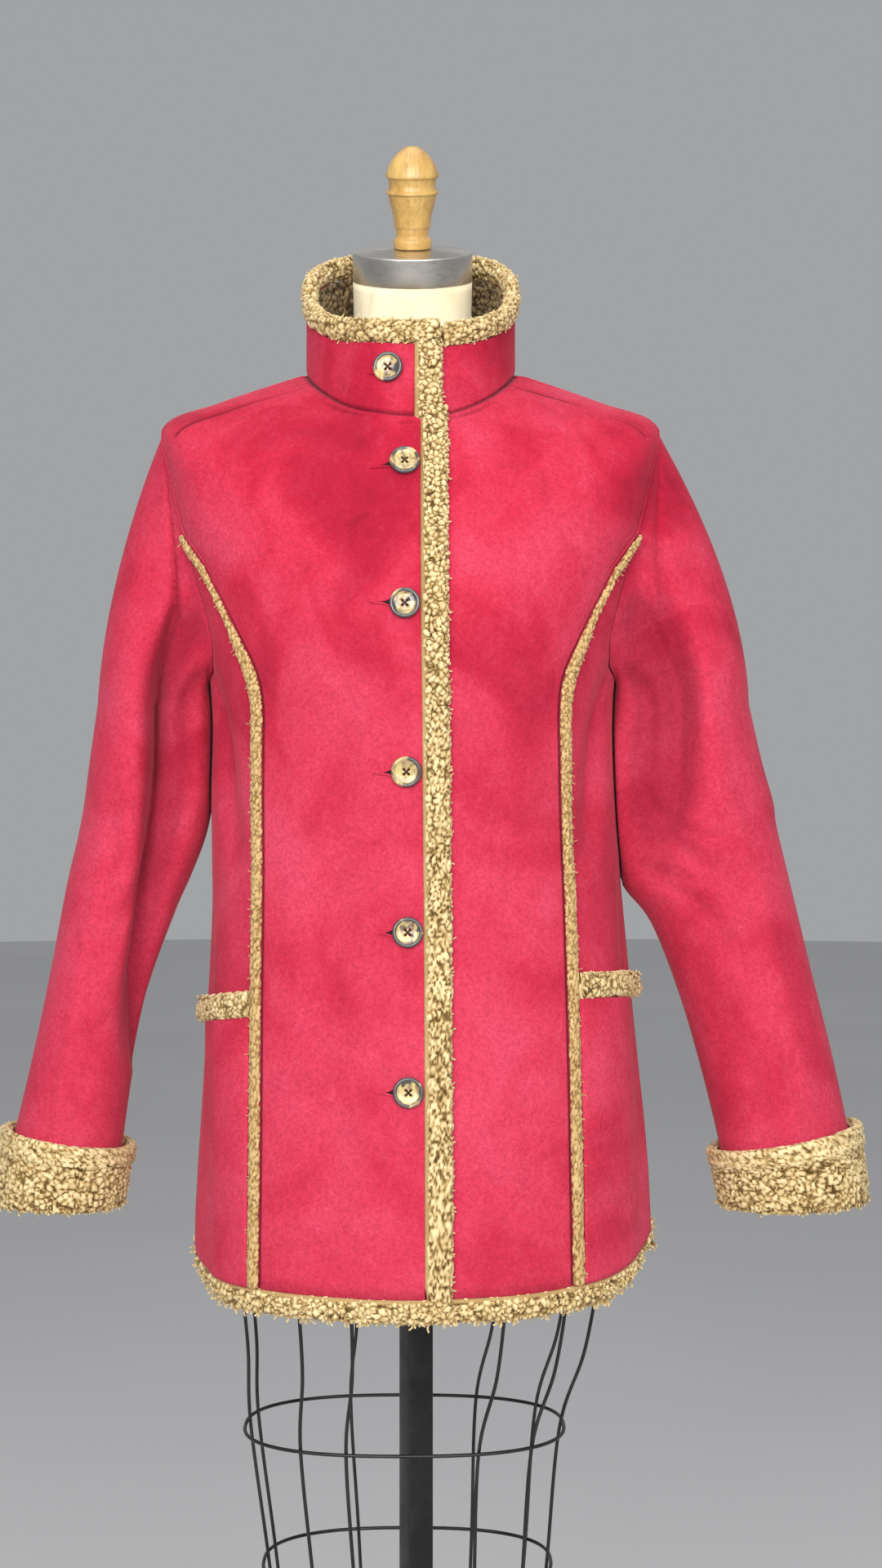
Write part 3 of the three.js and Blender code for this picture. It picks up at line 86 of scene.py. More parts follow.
SKEW_BEGINS, SKEW_FLATTENS = (8, 10), (10.3, 12)  # between these levels
CLOTH = 4.0
OVERLAP_LIFT, LIFT_FROM, LIFT_TO = 4.9, -60, -22
BUTTONHOLE_EDGE, BAND_EDGE, UNDER_EDGE = 9, 30, -18
SEAM_GAP, LAYER_GAP = 0.3, 0.7

PRINCESS = table(
    "level across",
    (4.6, 187), (4.8, 176), (5.0, 166), (5.5, 150), (6.0, 136), (6.5, 123.5), (7.0, 118),
    (7.5, 118), (8.0, 118.6), (9.0, 120), (10.0, 121.5), (11.0, 122.5), (12.0, 123.5),
)
ARMHOLE = table(
    "angle level",
    (84, 3.05), (74.5, 3.62), (69, 4.6), (67, 5.45), (69, 6.2), (80, 6.5),
    (91, 6.58), (104, 6.38), (114, 5.75), (118, 4.9), (115, 4.05), (102, 3.3),
)
ARMHOLE_STEPS, PRINCESS_STEP, SIDE_STEP = 24, 4, 12  # steps round it, to the princess seam and to the side seam
PRINCESS_TOP = PRINCESS["level"][0]
SHOULDER_LEVELS = [0, 1, 2.05, ARMHOLE["level"][0]]
SHOULDER_ROWS = len(SHOULDER_LEVELS) - 1
FRONT_CENTRES = [0, 1.0, 2.0, 2.9, 3.3, 3.75, 4.2, 4.65]
BACK_CENTRES = [0, 1.0, 2.0, 2.9, 3.2, 3.5, 3.85, 4.2, 4.55, 4.9, 5.2, 5.5, 5.85, 6.2, 6.45, 6.7]
LOWER = table(
    "centre princess side",
    (5.2, 5.2, 6.76), (5.8, 5.8, 6.96), (6.4, 6.4, 7.18), (7.0, 7.0, 7.44), (7.5, 7.5, 7.74),
    (8.0, 8.0, 8.1), (8.5, 8.5, 8.52), (9.0, 9.0, 9.0), (9.5, 9.5, 9.5), (9.84, 9.78, 9.9),
    (10.03, 9.97, 10.1), (10.7, 10.7, 10.7), (11.3, 11.3, 11.3), (12.0, 12.0, 12.0),
)
LOWER_ROWS = len(LOWER["centre"])
LOWER_PLACES = np.arange(LOWER_ROWS + 1)
PRINCESS_LEVELS = [PRINCESS_TOP, *LOWER["princess"]]
SIDE_SEAM_ANGLE = 91
VENT_FROM, VENT_TO, VENT_RISE = 46, 91, 0.48

# Troughs and ridges of the cloth: levels, angles, how late the line turns, depth and half width in degrees
FOLD = "start end angle_start angle_end bend depth half_width"
BODY_FOLDS = table(
    FOLD,
    (6.3, 8.8, -76, -55, 1, 10, 6.5),
    (6.3, 8.8, 72, 53, 1, 11, 6.5),
    (7.0, 10.2, -128, -118, 1, 6, 9),
    (6.9, 10.0, 130, 119, 1, 6, 9),
    # the slighter creases
    (4.4, 7.4, -62, -34, 1.4, 2.2, 5),
    (4.5, 7.2, 61, 36, 1.3, 2.4, 5),
    (5.2, 8.6, -52, -46, 1, -1.5, 5),
    (5.0, 8.2, 50, 45, 1, -1.6, 5),
    (2.2, 4.4, -58, -40, 1, 1.2, 7),
    (2.2, 4.6, 56, 42, 1, 1.3, 7),
    (8.0, 11.4, -24, -20, 1, 1.4, 6),
    (8.6, 12.4, -9, -14, 1, -1.0, 5),
    (7.6, 11.8, 22, 27, 1, 1.5, 6),
    (8.8, 12.4, 12, 10, 1, -1.0, 5),
    (8.8, 11.6, -80, -72, 1, 4, 6),
    (8.7, 11.4, 80, 71, 1, 4, 6),
    (9.6, 12.6, -68, -62, 1, 2.6, 5),
    (9.9, 12.6, 72, 66, 1, 2.4, 6),
    (3.0, 6.6, -150, -140, 1, 2.4, 8),
    (3.2, 6.8, 148, 139, 1, 2.2, 8),
    (6.8, 8.6, 166, 176, 1, 2.0, 9),
    (7.6, 9.2, -170, -158, 1, 2.2, 8),
    (8.6, 12.6, -146, -150, 1, 3.0, 7),
    (8.9, 12.6, 150, 155, 1, 2.8, 7),
    (9.2, 12.6, 178, 172, 1, 2.2, 6),
    (1.0, 3.4, 170, 150, 1, 1.2, 9),
    (1.2, 3.2, -172, -152, 1, 1.2, 9),
)

SLEEVE = "height across forward half_width half_depth level"
RIGHT_SLEEVE = table(
    SLEEVE,
    (1150, 216.5, 0, 48.5, 64, 0), (1100, 219, 0, 53, 64, 0), (1058, 224.8, 0, 52.8, 61, 0),
    (1025, 234, -1, 50, 58, 0), (988, 246, -2, 46.5, 56, 0), (919, 264, -5, 41, 53, 0),
    (850, 277, -9, 42, 50, 0), (787, 288.5, -12, 45, 48, 0.1), (761, 292.5, -13, 46.5, 48, 0.4),
    (738, 295, -14, 47, 48, 0.7),
)
LEFT_SLEEVE = table(
    SLEEVE,
    (1150, 225.8, 0, 57.8, 60, 0), (1100, 227.3, 0, 67.3, 59, 0), (1058, 231.5, 0, 73.5, 57, 0),
    (1025, 242, -1, 69.5, 55, 0), (988, 259, -2, 61, 54, 0), (919, 280, -5, 56, 52, 0),
    (850, 298, -9, 54.6, 50, 0), (787, 312, -12, 54, 48, 0.1), (761, 316, -13, 55, 48, 0.4),
    (738, 319, -14, 55.5, 48, 0.7),
)
# Rows count from the armhole; 0 degrees is the outside of the sleeve, 90 its front, 180 the body's side
RIGHT_SLEEVE_FOLDS = table(
    FOLD,
    (1, 11, 100, 166, 3, 26, 17),
    (3.5, 11, 262, 236, 1, 9, 26),
    (2.4, 7.6, 138, 128, 1, 9, 13),
    (0.6, 5.0, 96, 86, 1, -1.6, 7),
    (6.5, 9.6, 60, 96, 1, 2.6, 9),
    (7.4, 10.2, 128, 92, 1, 2.4, 8),
    (8.4, 12.5, 70, 84, 1, -1.4, 9),
    (10.2, 13.2, 110, 92, 1, 1.8, 9),
    (5.6, 9.0, 214, 250, 1, 3.0, 10),
    (7.6, 10.8, 290, 258, 1, 3.2, 10),
    (9.8, 13.4, 300, 286, 1, 2.4, 12),
    (3.0, 8.0, 322, 340, 1, 2.0, 12),
)
LEFT_SLEEVE_FOLDS = table(
    FOLD,
    (0.8, 8.4, 106, 120, 1, 15, 24),
    (1.5, 8, 258, 240, 1, 10, 26),
    (3.4, 9.0, 78, 58, 1, -1.8, 8),
    (2.4, 7.4, 140, 130, 1, 9, 13),
    (1.2, 7.4, 90, 102, 1, 13, 13),
    (6.4, 9.4, 128, 62, 1, 4.2, 8),
    (7.6, 10.4, 138, 80, 1, 3.6, 8),
    (6.9, 9.8, 118, 84, 1, -1.8, 6),
    (8.6, 12.4, 62, 70, 1, -1.4, 9),
    (9.8, 13.2, 120, 98, 1, 2.0, 9),
    (5.4, 8.8, 220, 252, 1, 3.2, 10),
    (7.2, 10.4, 286, 250, 1, 3.4, 10),
    (9.6, 13.2, 296, 282, 1, 2.4, 12),
    (3.2, 8.2, 324, 344, 1, 2.0, 12),
)
# Sharp creases: the rows and angles that they pass, how deep they are, and half widths at their two ends
RIGHT_SLEEVE_CREASES = (
    ((0.5, 0.9, 1.6, 2.5, 5, 7, 9, 10, 11), (16, 28, 58, 84, 103, 105, 132, 168, 190), 16, 2.4, 11.0),
)
LEFT_SLEEVE_CREASES = (
    ((0.5, 1.0, 1.8, 2.8, 5, 7), (14, 26, 52, 74, 86, 92), 6, 4, 12),
    ((6.2, 7.0, 7.8), (140, 104, 72), 3.5, 3, 4),
    ((7.6, 8.2, 8.8), (142, 112, 88), 3.0, 3, 4),
)
BODY_CLEARANCE = 2.0
CUFF_ROW = 7
HEAD_SHARES = [0, 0.12, 0.3, 0.52, 0.76, 1]
HEAD_LEAVE_TOP, HEAD_LEAVE_BOTTOM = 22, 2.5
HEAD_ARRIVE_TOP, HEAD_ARRIVE_BOTTOM, HEAD_CLEAR = 110, 8, 7
HEAD_TUCK, HEAD_SUNK = 1.2, 1.9  # how far the sleeve's edge starts inside the armhole and under the body's face

COLLAR_TOP = dict(
    front=1435, side=1487, back=1531, half_width=88, front_depth=92, back_depth=77, roundness=2.0, dip=0.75
)
NECKLINE = {name: BODY[name][0] for name in RING.split()}
COLLAR_SWAY = -1.5
COLLAR_LIFT_FROM, COLLAR_LIFT_TO = 44, 16  # degrees before the centre front
COLLAR_EDGE, COLLAR_BAND_EDGE = 4, 25
COLLAR_CLEARANCE, COLLAR_PER_LIFT = 0.5, 0.5
COLLAR_TUCK = -0.12  # how far the collar's lower edge goes under the body, as a share of its height
LINING_DEPTH, LINING_CLOTH, LINING_START, LINING_GAP = 0.62, 3, 24, 0.8
COLLAR_ROLL_HEIGHT, COLLAR_ROLL_THICKNESS, COLLAR_ROLL_GAP = 20, 13, 1.1


# ---------------------------------------------------------------- curves
def catmull(a, b, c, d, t):
    rise, leave = (c - a) / 2, (d - b) / 2
    return ((2 * b - 2 * c + rise + leave) * t + (-3 * b + 3 * c - 2 * rise - leave)) * t * t + rise * t + b


def along(values, place, closed=False):
    """The value of a column at places between its rows."""
    values = np.asarray(values, float)
    place = np.asarray(place, float)
    count = len(values)
    if closed:
        start = np.floor(place).astype(int)
        a, b, c, d = (values[(start + step) % count] for step in (-1, 0, 1, 2))
    else:
        place = np.clip(place, 0, count - 1)
        start = np.minimum(np.floor(place).astype(int), count - 2)
        longer = np.concatenate([[2 * values[0] - values[1]], values, [2 * values[-1] - values[-2]]])
        a, b, c, d = (longer[start + step] for step in range(4))
    return catmull(a, b, c, d, place - start)


def look_up(columns, key, column, value):
    keys = columns[key]
    index = np.clip(np.searchsorted(keys, value, "right") - 1, 0, len(keys) - 2)
    share = np.clip((value - keys[index]) / (keys[index + 1] - keys[index]), 0, 1)
    return along(columns[column], index + share)


def smooth(start, end, value):
    t = np.clip((value - start) / (end - start), 0, 1)
    return t * t * (3 - 2 * t)


def lerp(a, b, t):
    return a + (b - a) * t


def unit(vectors):
    return vectors / np.maximum(np.linalg.norm(vectors, axis=-1, keepdims=True), 1e-9)


def stack(x, y, z):
    return np.stack(np.broadcast_arrays(x, y, z), axis=-1).astype(float)


def hump(value, centre, width):
    """A bell of height 1 about a centre."""
    return np.exp(-(((value - centre) / width) ** 2))


def circle(count):
    """Even angles once round, in radians."""
    return 2 * np.pi * np.arange(count) / count


def degrees_round(count):
    return np.arange(count) * 360 / count


def far_along(path):
    """How far each point of a path is from its start."""
    return np.concatenate([[0], np.cumsum(np.linalg.norm(np.diff(path, axis=0), axis=1))])


def points_at(spots, far, path):
    return np.stack([np.interp(spots, far, path[:, k]) for k in range(3)], axis=-1)


def spacing(length, step, finer=()):
    """Shares from 0 to 1 along a length, with extra ones at the distances in finer from each end."""
    even = np.linspace(0, length, max(int(round(length / step)), 2) + 1)
    extra = np.array([d for d in finer if d < length / 2])
    margin = extra[-1] + step / 2 if len(extra) else -1
    keep = even[(even > margin) & (even < length - margin)]
    ends = np.array([0.0, length])
    return np.unique(np.concatenate([ends, extra, length - extra, keep])) / length


SEAM_FINER = (0.8, 1.8, 3.0, 4.2, 5.2, 6.0, 6.7, 7.3, 8.0, 8.8, 10.0, 12.0)
FRONT_WIDTH, BACK_HALF, SIDE_FRONT_WIDTH, COLLAR_HEIGHT = 170, 230, 110, 60  # mm, for spacing columns and rows


# ---------------------------------------------------------------- the jacket's body
def ring_point(ring, angle):
    sine, cosine = np.sin(np.radians(angle)), np.cos(np.radians(angle))
    power = 2 / ring["roundness"]
    ahead = cosine > 0
    depth = np.where(ahead, -ring["front_depth"], ring["back_depth"])
    far = np.where(ahead, ring["front"], ring["back"])
    return stack(
        ring["half_width"] * np.sign(sine) * np.abs(sine) ** power,
        depth * np.abs(cosine) ** power,
        ring["side"] + (far - ring["side"]) * np.abs(cosine) ** ring["dip"],
    )


def ring_at(rows, place):
    return {name: along(column, place) for name, column in rows.items()}


def trough_depth(folds, place, angle):
    total = 0.0
    for index in range(len(folds["start"])):
        start, end, first, last, bend, depth, half_width = (folds[name][index] for name in FOLD.split())
        share = np.clip((place - start) / (end - start), 0, 1)
        away = (angle - lerp(first, last, share**bend)) / half_width
        total = total + depth * np.sin(np.pi * share) ** 0.8 * np.exp(-away * away)
    return total


def crease_depth(creases, place, angle):
    """Steep-sided creases that follow a path of rows and angles."""
    total = 0.0
    for rows, angles, depth, first, last in creases:
        share = np.clip((place - rows[0]) / (rows[-1] - rows[0]), 0, 1)
        away = (angle - np.interp(place, rows, angles)) / lerp(first, last, share)
        total = total + depth * np.sin(np.pi * share) ** 0.5 / (1 + np.abs(away) ** 4)
    return total


def smooth_body(angle, level):
    angle, level = np.broadcast_arrays(np.asarray(angle, float), np.asarray(level, float))
    ring = ring_at(BODY, level)
    point = ring_point(ring, angle)
    flat = smooth(*SKEW_FLATTENS, level)
    rise = lerp(SKEW_RISE, SKEW_AT_HEM, flat) * smooth(*SKEW_BEGINS, level)
    side = np.abs(np.sin(np.radians(angle))) ** 3
    point[..., 2] += rise * (point[..., 0] / SKEW_ACROSS) * lerp(1, side, flat)
    point[..., 0] += ring["sway"] + ring["swing"] * side
    return point


def body_normal(angle, level, turn=0.6, drop=0.03):
    along_ring = smooth_body(angle + turn, level) - smooth_body(angle - turn, level)
    down = smooth_body(angle, level + drop) - smooth_body(angle, level - drop)
    return unit(np.cross(down, along_ring))


def wrapped(angle):
    return np.where(np.asarray(angle) > 180, np.asarray(angle, float) - 360, angle)


def body_point(angle, level, offset=0.0):
    fold = trough_depth(BODY_FOLDS, level, wrapped(angle))
    return smooth_body(angle, level) + body_normal(angle, level) * (offset - fold)[..., None]


def angle_across(across, level):
    ring = ring_at(BODY, level)
    share = np.minimum(np.abs(across) / ring["half_width"], 1)
    return np.sign(across) * np.degrees(np.arcsin(share ** (ring["roundness"] / 2)))


def body_reach(depth, height, side):
    """How far the body reaches to one side, at a depth and height."""
    low, high = np.full(depth.shape, 5.0), np.full(depth.shape, float(HEM_LEVEL))
    for _ in range(14):
        middle = (low + high) / 2
        ring = ring_at(BODY, middle)
        reach = np.where(depth < 0, ring["front_depth"], ring["back_depth"])
        share = np.minimum(np.abs(depth) / reach, 1)
        angle = np.degrees(np.arccos(share ** (ring["roundness"] / 2)))
        angle = np.where(depth > 0, 180 - angle, angle)
        above = ring_point(ring, angle)[..., 2] > height
        low, high = np.where(above, middle, low), np.where(above, high, middle)
    return side * smooth_body(side * angle, low)[..., 0]


def armhole_place(step):
    place = np.asarray(step, float) * len(ARMHOLE["angle"]) / ARMHOLE_STEPS
    return along(ARMHOLE["angle"], place, True), along(ARMHOLE["level"], place, True)


SIDE_LEVELS = [armhole_place(SIDE_STEP)[1].item(), *LOWER["side"]]
PRINCESS_JOINS = 5.4  # level under which the princess seam keeps to its own line


def princess_angle(level):
    level = np.maximum(level, PRINCESS_TOP)
    seam = angle_across(look_up(PRINCESS, "level", "across", level), level)
    top = armhole_place(PRINCESS_STEP)[0] - angle_across(PRINCESS["across"][0], np.array(PRINCESS_TOP))
    return seam + top * (1 - smooth(PRINCESS_TOP, PRINCESS_JOINS, level))


def lift_at(points):
    return OVERLAP_LIFT * smooth(LIFT_FROM, LIFT_TO, points[..., 0])


# ---------------------------------------------------------------- panels as grids of angles and levels
def rows_between(values, count_each):
    place = np.linspace(0, len(values) - 1, (len(values) - 1) * count_each + 1)
    return place, np.interp(place, np.arange(len(values)), values)


def side_seam_angle(level):
    return np.full(level.shape, SIDE_SEAM_ANGLE)


def outer_edge(row, steps, backward, lower_levels, lower_angle):
    """Angles and levels of a panel's outer edge: the shoulder, the armhole and then the seam below it."""
    step = np.clip(row - SHOULDER_ROWS, 0, steps)
    armhole_angle, armhole_level = armhole_place(ARMHOLE_STEPS - step if backward else step)
    below = SHOULDER_ROWS + steps
    parts = [row <= SHOULDER_ROWS, row <= below]
    shoulder = np.interp(row, np.arange(SHOULDER_ROWS + 1), SHOULDER_LEVELS)
    level = np.select(parts, [shoulder, armhole_level], np.interp(row, below + LOWER_PLACES, lower_levels))
    first_angle = np.full(row.shape, ARMHOLE["angle"][0])
    return np.select(parts, [first_angle, armhole_angle], lower_angle(level)), level


def front_grid(side, edge_across, each=7):
    row, centre = rows_between(FRONT_CENTRES + list(LOWER["centre"]), each)
    angle, level = outer_edge(row, PRINCESS_STEP, False, PRINCESS_LEVELS, princess_angle)
    start = angle_across(float(edge_across), centre)
    shares = spacing(FRONT_WIDTH, 2.7, SEAM_FINER)
    angles = start[:, None] + (side * angle - start)[:, None] * shares[None, :]
    reach = np.maximum(side * angles, 0) / angle[:, None]
    return angles, lerp(centre[:, None], level[:, None], reach), row


def back_grid(each=4):
    centres = BACK_CENTRES + [max(c, s) for c, s in zip(LOWER["centre"], LOWER["side"])]
    row, centre = rows_between(centres, each)
    angle, level = outer_edge(row, SIDE_STEP, True, SIDE_LEVELS, side_seam_angle)
    half = spacing(BACK_HALF, 5.0, SEAM_FINER)
    half = np.append(half[half <= 1 - 14 / BACK_HALF], [0.972, 0.984, 0.991, 0.996, 1.0])
    shares = np.concatenate([1 - half, half[::-1][1:]])  # 1 at the two edges, 0 in the middle
    turn = lerp(180, angle[:, None], shares[None, :])
    columns = np.arange(len(shares)) < len(half)
    angles = np.where(columns[None, :], turn, 360 - turn)
    return angles, lerp(centre[:, None], level[:, None], shares[None, :]), row


def side_front_place(row, left_level, shares):
    """Angles and levels at shares of the way from the princess seam to the side seam."""
    right_level = np.interp(row, LOWER_PLACES, SIDE_LEVELS)
    steps = (PRINCESS_STEP + (SIDE_STEP - PRINCESS_STEP) * shares, PRINCESS_STEP, SIDE_STEP)
    (top_angle, top_level), first, last = (armhole_place(step) for step in steps)
    fade = (1 - smooth(0, 0.45, row / LOWER_ROWS)) ** 1.5
    angle = lerp(princess_angle(left_level), SIDE_SEAM_ANGLE, shares)
    angle = angle + (top_angle - lerp(first[0], last[0], shares)) * fade
    level = lerp(left_level, right_level, shares) + (top_level - lerp(first[1], last[1], shares)) * fade
    return angle, level


def vent_rise(angle):
    """How many levels the cloth's edge climbs at the rounded corner of the side vent."""
    corner = np.clip((angle - VENT_FROM) / (VENT_TO - VENT_FROM), 0, 1)
    return VENT_RISE * (1 - np.sqrt(1 - corner**2))


def vented(row, angle, level):
    return level - vent_rise(angle) * np.clip(row - (LOWER_ROWS - 1), 0, 1)


def side_front_grid(side, each=9, column_step=4.4):
    row, left_level = (values[:, None] for values in rows_between(PRINCESS_LEVELS, each))
    angle, level = side_front_place(row, left_level, spacing(SIDE_FRONT_WIDTH, column_step, SEAM_FINER))
    return side * angle, vented(row, angle, level)


def distances(points, axis):
    """Distance of each point of a grid from its first and from its last row or column."""
    steps = np.linalg.norm(np.diff(points, axis=axis), axis=-1)
    start = np.zeros(points.shape[:2])
    if axis == 1:
        start[:, 1:] = np.cumsum(steps, axis=1)
        return start, start[:, -1:] - start
    start[1:, :] = np.cumsum(steps, axis=0)
    return start, start[-1:, :] - start


STITCH_IN, SEAM_DIP = 7.0, 2.2


def seam_relief(distance, stitched=True, depth=1.0):
    """How far cloth dips at a seam and along its topstitching, with a slight swell between them."""
    dip = -SEAM_DIP * hump(distance, 0, 1.2)
    if stitched:
        dip = dip - 1.5 * hump(distance, STITCH_IN, 0.9) + 0.7 * hump(distance, 3.6, 2.0)
    return dip * depth


# ---------------------------------------------------------------- noise
def lattice_hash(cells, salt=0):
    with np.errstate(over="ignore"):
        c = cells.astype(np.int64).astype(np.uint32)
        h = c[..., 0] * np.uint32(374761393) + c[..., 1] * np.uint32(668265263) + c[..., 2] * np.uint32(2246822519)
        h = h + np.uint32((salt * 3266489917) % 2**32)
        h = (h ^ (h >> np.uint32(13))) * np.uint32(1274126177)
        h = (h ^ (h >> np.uint32(16))) * np.uint32(2654435761)
        return (h ^ (h >> np.uint32(15))).astype(float) / 4294967296.0


def soft_noise(points, size, salt=0):
    """Smooth noise from -1 to 1, with bumps of that size in millimetres."""
    place = points / size
    cell = np.floor(place)
    t = place - cell
    t = t * t * (3 - 2 * t)
    total = 0
    for corner in np.ndindex(2, 2, 2):
        weight = np.prod(np.where(np.array(corner) == 1, t, 1 - t), axis=-1)
        total = total + weight * lattice_hash(cell + np.array(corner), salt)
    return 2 * total - 1


def curl_cells(points, size, salt=0):
    """Distance to the nearest and the next curl's middle, and a number of its own for each curl."""
    place = points / size
    cell = np.floor(place)
    nearest = np.full(len(points), 9.0)
    second = np.full(len(points), 9.0)
    own = np.zeros(len(points))
    for step in np.ndindex(3, 3, 3):
        spot = cell + np.array(step) - 1
        middle = spot + np.stack([lattice_hash(spot, salt + k) for k in range(3)], axis=-1)
        distance = np.linalg.norm(place - middle, axis=-1)
        closer = distance < nearest
        second = np.where(closer, nearest, np.minimum(second, distance))
        own = np.where(closer, lattice_hash(spot, salt + 7), own)
        nearest = np.where(closer, distance, nearest)
    return nearest, second, own


# ---------------------------------------------------------------- meshes
def grid_faces(rows, columns, around=False, start=0):
    spans = columns if around else columns - 1
    row, column = np.meshgrid(np.arange(rows - 1), np.arange(spans), indexing="ij")
    beside = (column + 1) % columns
    a, b = row * columns + column, row * columns + beside
    c, d = (row + 1) * columns + beside, (row + 1) * columns + column
    return np.stack([a, b, c, d], axis=-1).reshape(-1, 4) + start


def ring_faces(count, size):
    """Faces of closed loops that stand in a closed ring."""
    last = grid_faces(2, size, True)
    last = np.where(last >= size, last - size, last + (count - 1) * size)
    return np.concatenate([grid_faces(count, size, True), last])


def wall_faces(rows, columns, around=False):
    """Faces of a wall between an outer and an inner grid."""
    half = rows * columns
    outer = grid_faces(rows, columns, around)
    inner = outer[:, ::-1] + half
    spans = columns if around else columns - 1
    top = np.arange(spans)
    top = np.stack([(top + 1) % columns, top], axis=-1)
    bottom = (rows - 1) * columns + top[:, ::-1]
    edges = [top, bottom]
    if not around:
        down = np.arange(rows - 1)
        edges.append(np.stack([down * columns, (down + 1) * columns], axis=-1))
        edges.append(np.stack([(down + 1) * columns + columns - 1, down * columns + columns - 1], axis=-1))
    edge = np.concatenate(edges)
    sides = np.concatenate([edge, edge[:, ::-1] + half], axis=-1)
    return np.concatenate([outer, inner, sides])


def under_faces(rows, columns, around=False, skip=4):
    """The inner faces of a wall that are away from its edges."""
    spans = columns if around else columns - 1
    row, column = np.meshgrid(np.arange(rows - 1), np.arange(spans), indexing="ij")
    away = (row >= skip) & (row < rows - 1 - skip)
    if not around:
        away &= (column >= skip) & (column < spans - skip)
    return np.nonzero(away.ravel())[0] + (rows - 1) * spans


def volume(points, faces):
    a, b, c, d = (points[faces[:, k]] for k in range(4))
    return (np.sum(a * np.cross(b, c)) + np.sum(a * np.cross(c, d))) / 6


def place_mesh(name, points, faces, materials, inside=None, pile=None, groove_shade_and_wear=None):
    """A mesh object from points in the part's millimetres. Faces of index 'inside' and up take the second material."""
    shifted = (np.asarray(points, float) + (ACROSS_SHIFT, 0, 0)) * METRES
    faces = np.asarray(faces, int)
    if volume(shifted, faces) < 0:
        faces = faces[:, ::-1]
    loops = [f[:3] if f[3] == f[0] or f[3] == f[2] else f for f in faces.tolist()]
    loops = [f[1:] if len(f) == 4 and f[0] == f[1] else f for f in loops]
    name = f"{name}_detail"
    mesh = bpy.data.meshes.new(name)
    mesh.from_pydata(shifted.tolist(), [], loops)
    for material in materials:
        mesh.materials.append(material)
    if inside is not None:
        index = np.zeros(len(loops), np.int32)
        index[inside] = 1
        mesh.polygons.foreach_set("material_index", index)
    mesh.polygons.foreach_set("use_smooth", [True] * len(loops))
    # Marks for the materials: how light the pile is painted, and where painted shade and dye wear darken seams and
    # folds.
    for label, marks in (("pile", pile), ("groove_shade_and_wear", groove_shade_and_wear)):
        if marks is not None:
            attribute = mesh.attributes.new(label, "FLOAT", "POINT")
            attribute.data.foreach_set("value", np.asarray(marks, np.float32))
    mesh.update()
    made = bpy.data.objects.new(name, mesh)
    bpy.context.scene.collection.objects.link(made)
    return made


def finish_piece(piece, slot, *nodes):
    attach(piece, "root")
    if nodes:
        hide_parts(*nodes)
    return piece


def plain_piece(name, points, faces, material, slot, *nodes, pile=None):
    return finish_piece(place_mesh(name, points, faces, [material], pile=pile), slot, *nodes)


def vertex_normals(points, faces):
    a, b, c, d = (points[faces[:, k]] for k in range(4))
    normal = np.cross(c - a, d - b)
    total = np.zeros_like(points)
    for k in range(4):
        np.add.at(total, faces[:, k], normal)
    return unit(total)


# ---------------------------------------------------------------- sherpa pile
CURL = 4.6  # mm between curls
CURL_HEIGHT = 3.0


def pile_height(points, streaky=0.0, curl_size=CURL):
    """Height from 0 to 1 of curled pile, and how light it is painted, at points in millimetres. The gaps are dark as
    painted shade, the tips light as painted highlight, and some curls paler at random.
    """
    warp = np.stack([soft_noise(points, 5.0, salt) for salt in (11, 12, 13)], axis=-1)
    broad = np.stack([soft_noise(points, 16.0, salt) for salt in (14, 15, 16)], axis=-1)
    spot = points + 0.8 * warp + 2.5 * broad
    stretch = np.array([1.0, 1.0, 1.0 - 0.45 * streaky])
    nearest, second, own = curl_cells(spot * stretch, curl_size, 21)
    gap = np.clip((second - nearest) / 0.3, 0, 1)
    dome = np.clip(1 - (nearest / 0.95) ** 2, 0, 1)
    fine_near, fine_next, _ = curl_cells(spot + 0.5 * warp, curl_size / 2.3, 31)
    crumb = np.clip((fine_next - fine_near) / 0.4, 0, 1)
    curl = (gap * (2 - gap)) * (0.62 + 0.38 * dome)
    height = 0.88 * curl * (0.8 + 0.28 * own) + 0.12 * crumb * curl
    light = np.clip(0.02 + 1.15 * curl * (0.8 + 0.2 * crumb) * (0.8 + 0.35 * own), 0, 1)
    return height, light, broad[:, 0]


def add_pile(points, faces, amount=1.0, weight=None, streaky=0.0, curl_size=CURL):
    """Raises curled pile on a closed mesh, and returns its points and how light each is painted, with painted shade in
    the gaps and painted highlight on the tips.
    """
    normals = vertex_normals(points, faces)
    if volume(points, faces) < 0:
        normals = -normals
    height, light, broad = pile_height(points, streaky, curl_size)
    weight = 1.0 if weight is None else weight
    rise = CURL_HEIGHT * amount * (height - 0.45) + 0.5 * amount * broad
    return points + normals * (rise * weight)[:, None], light


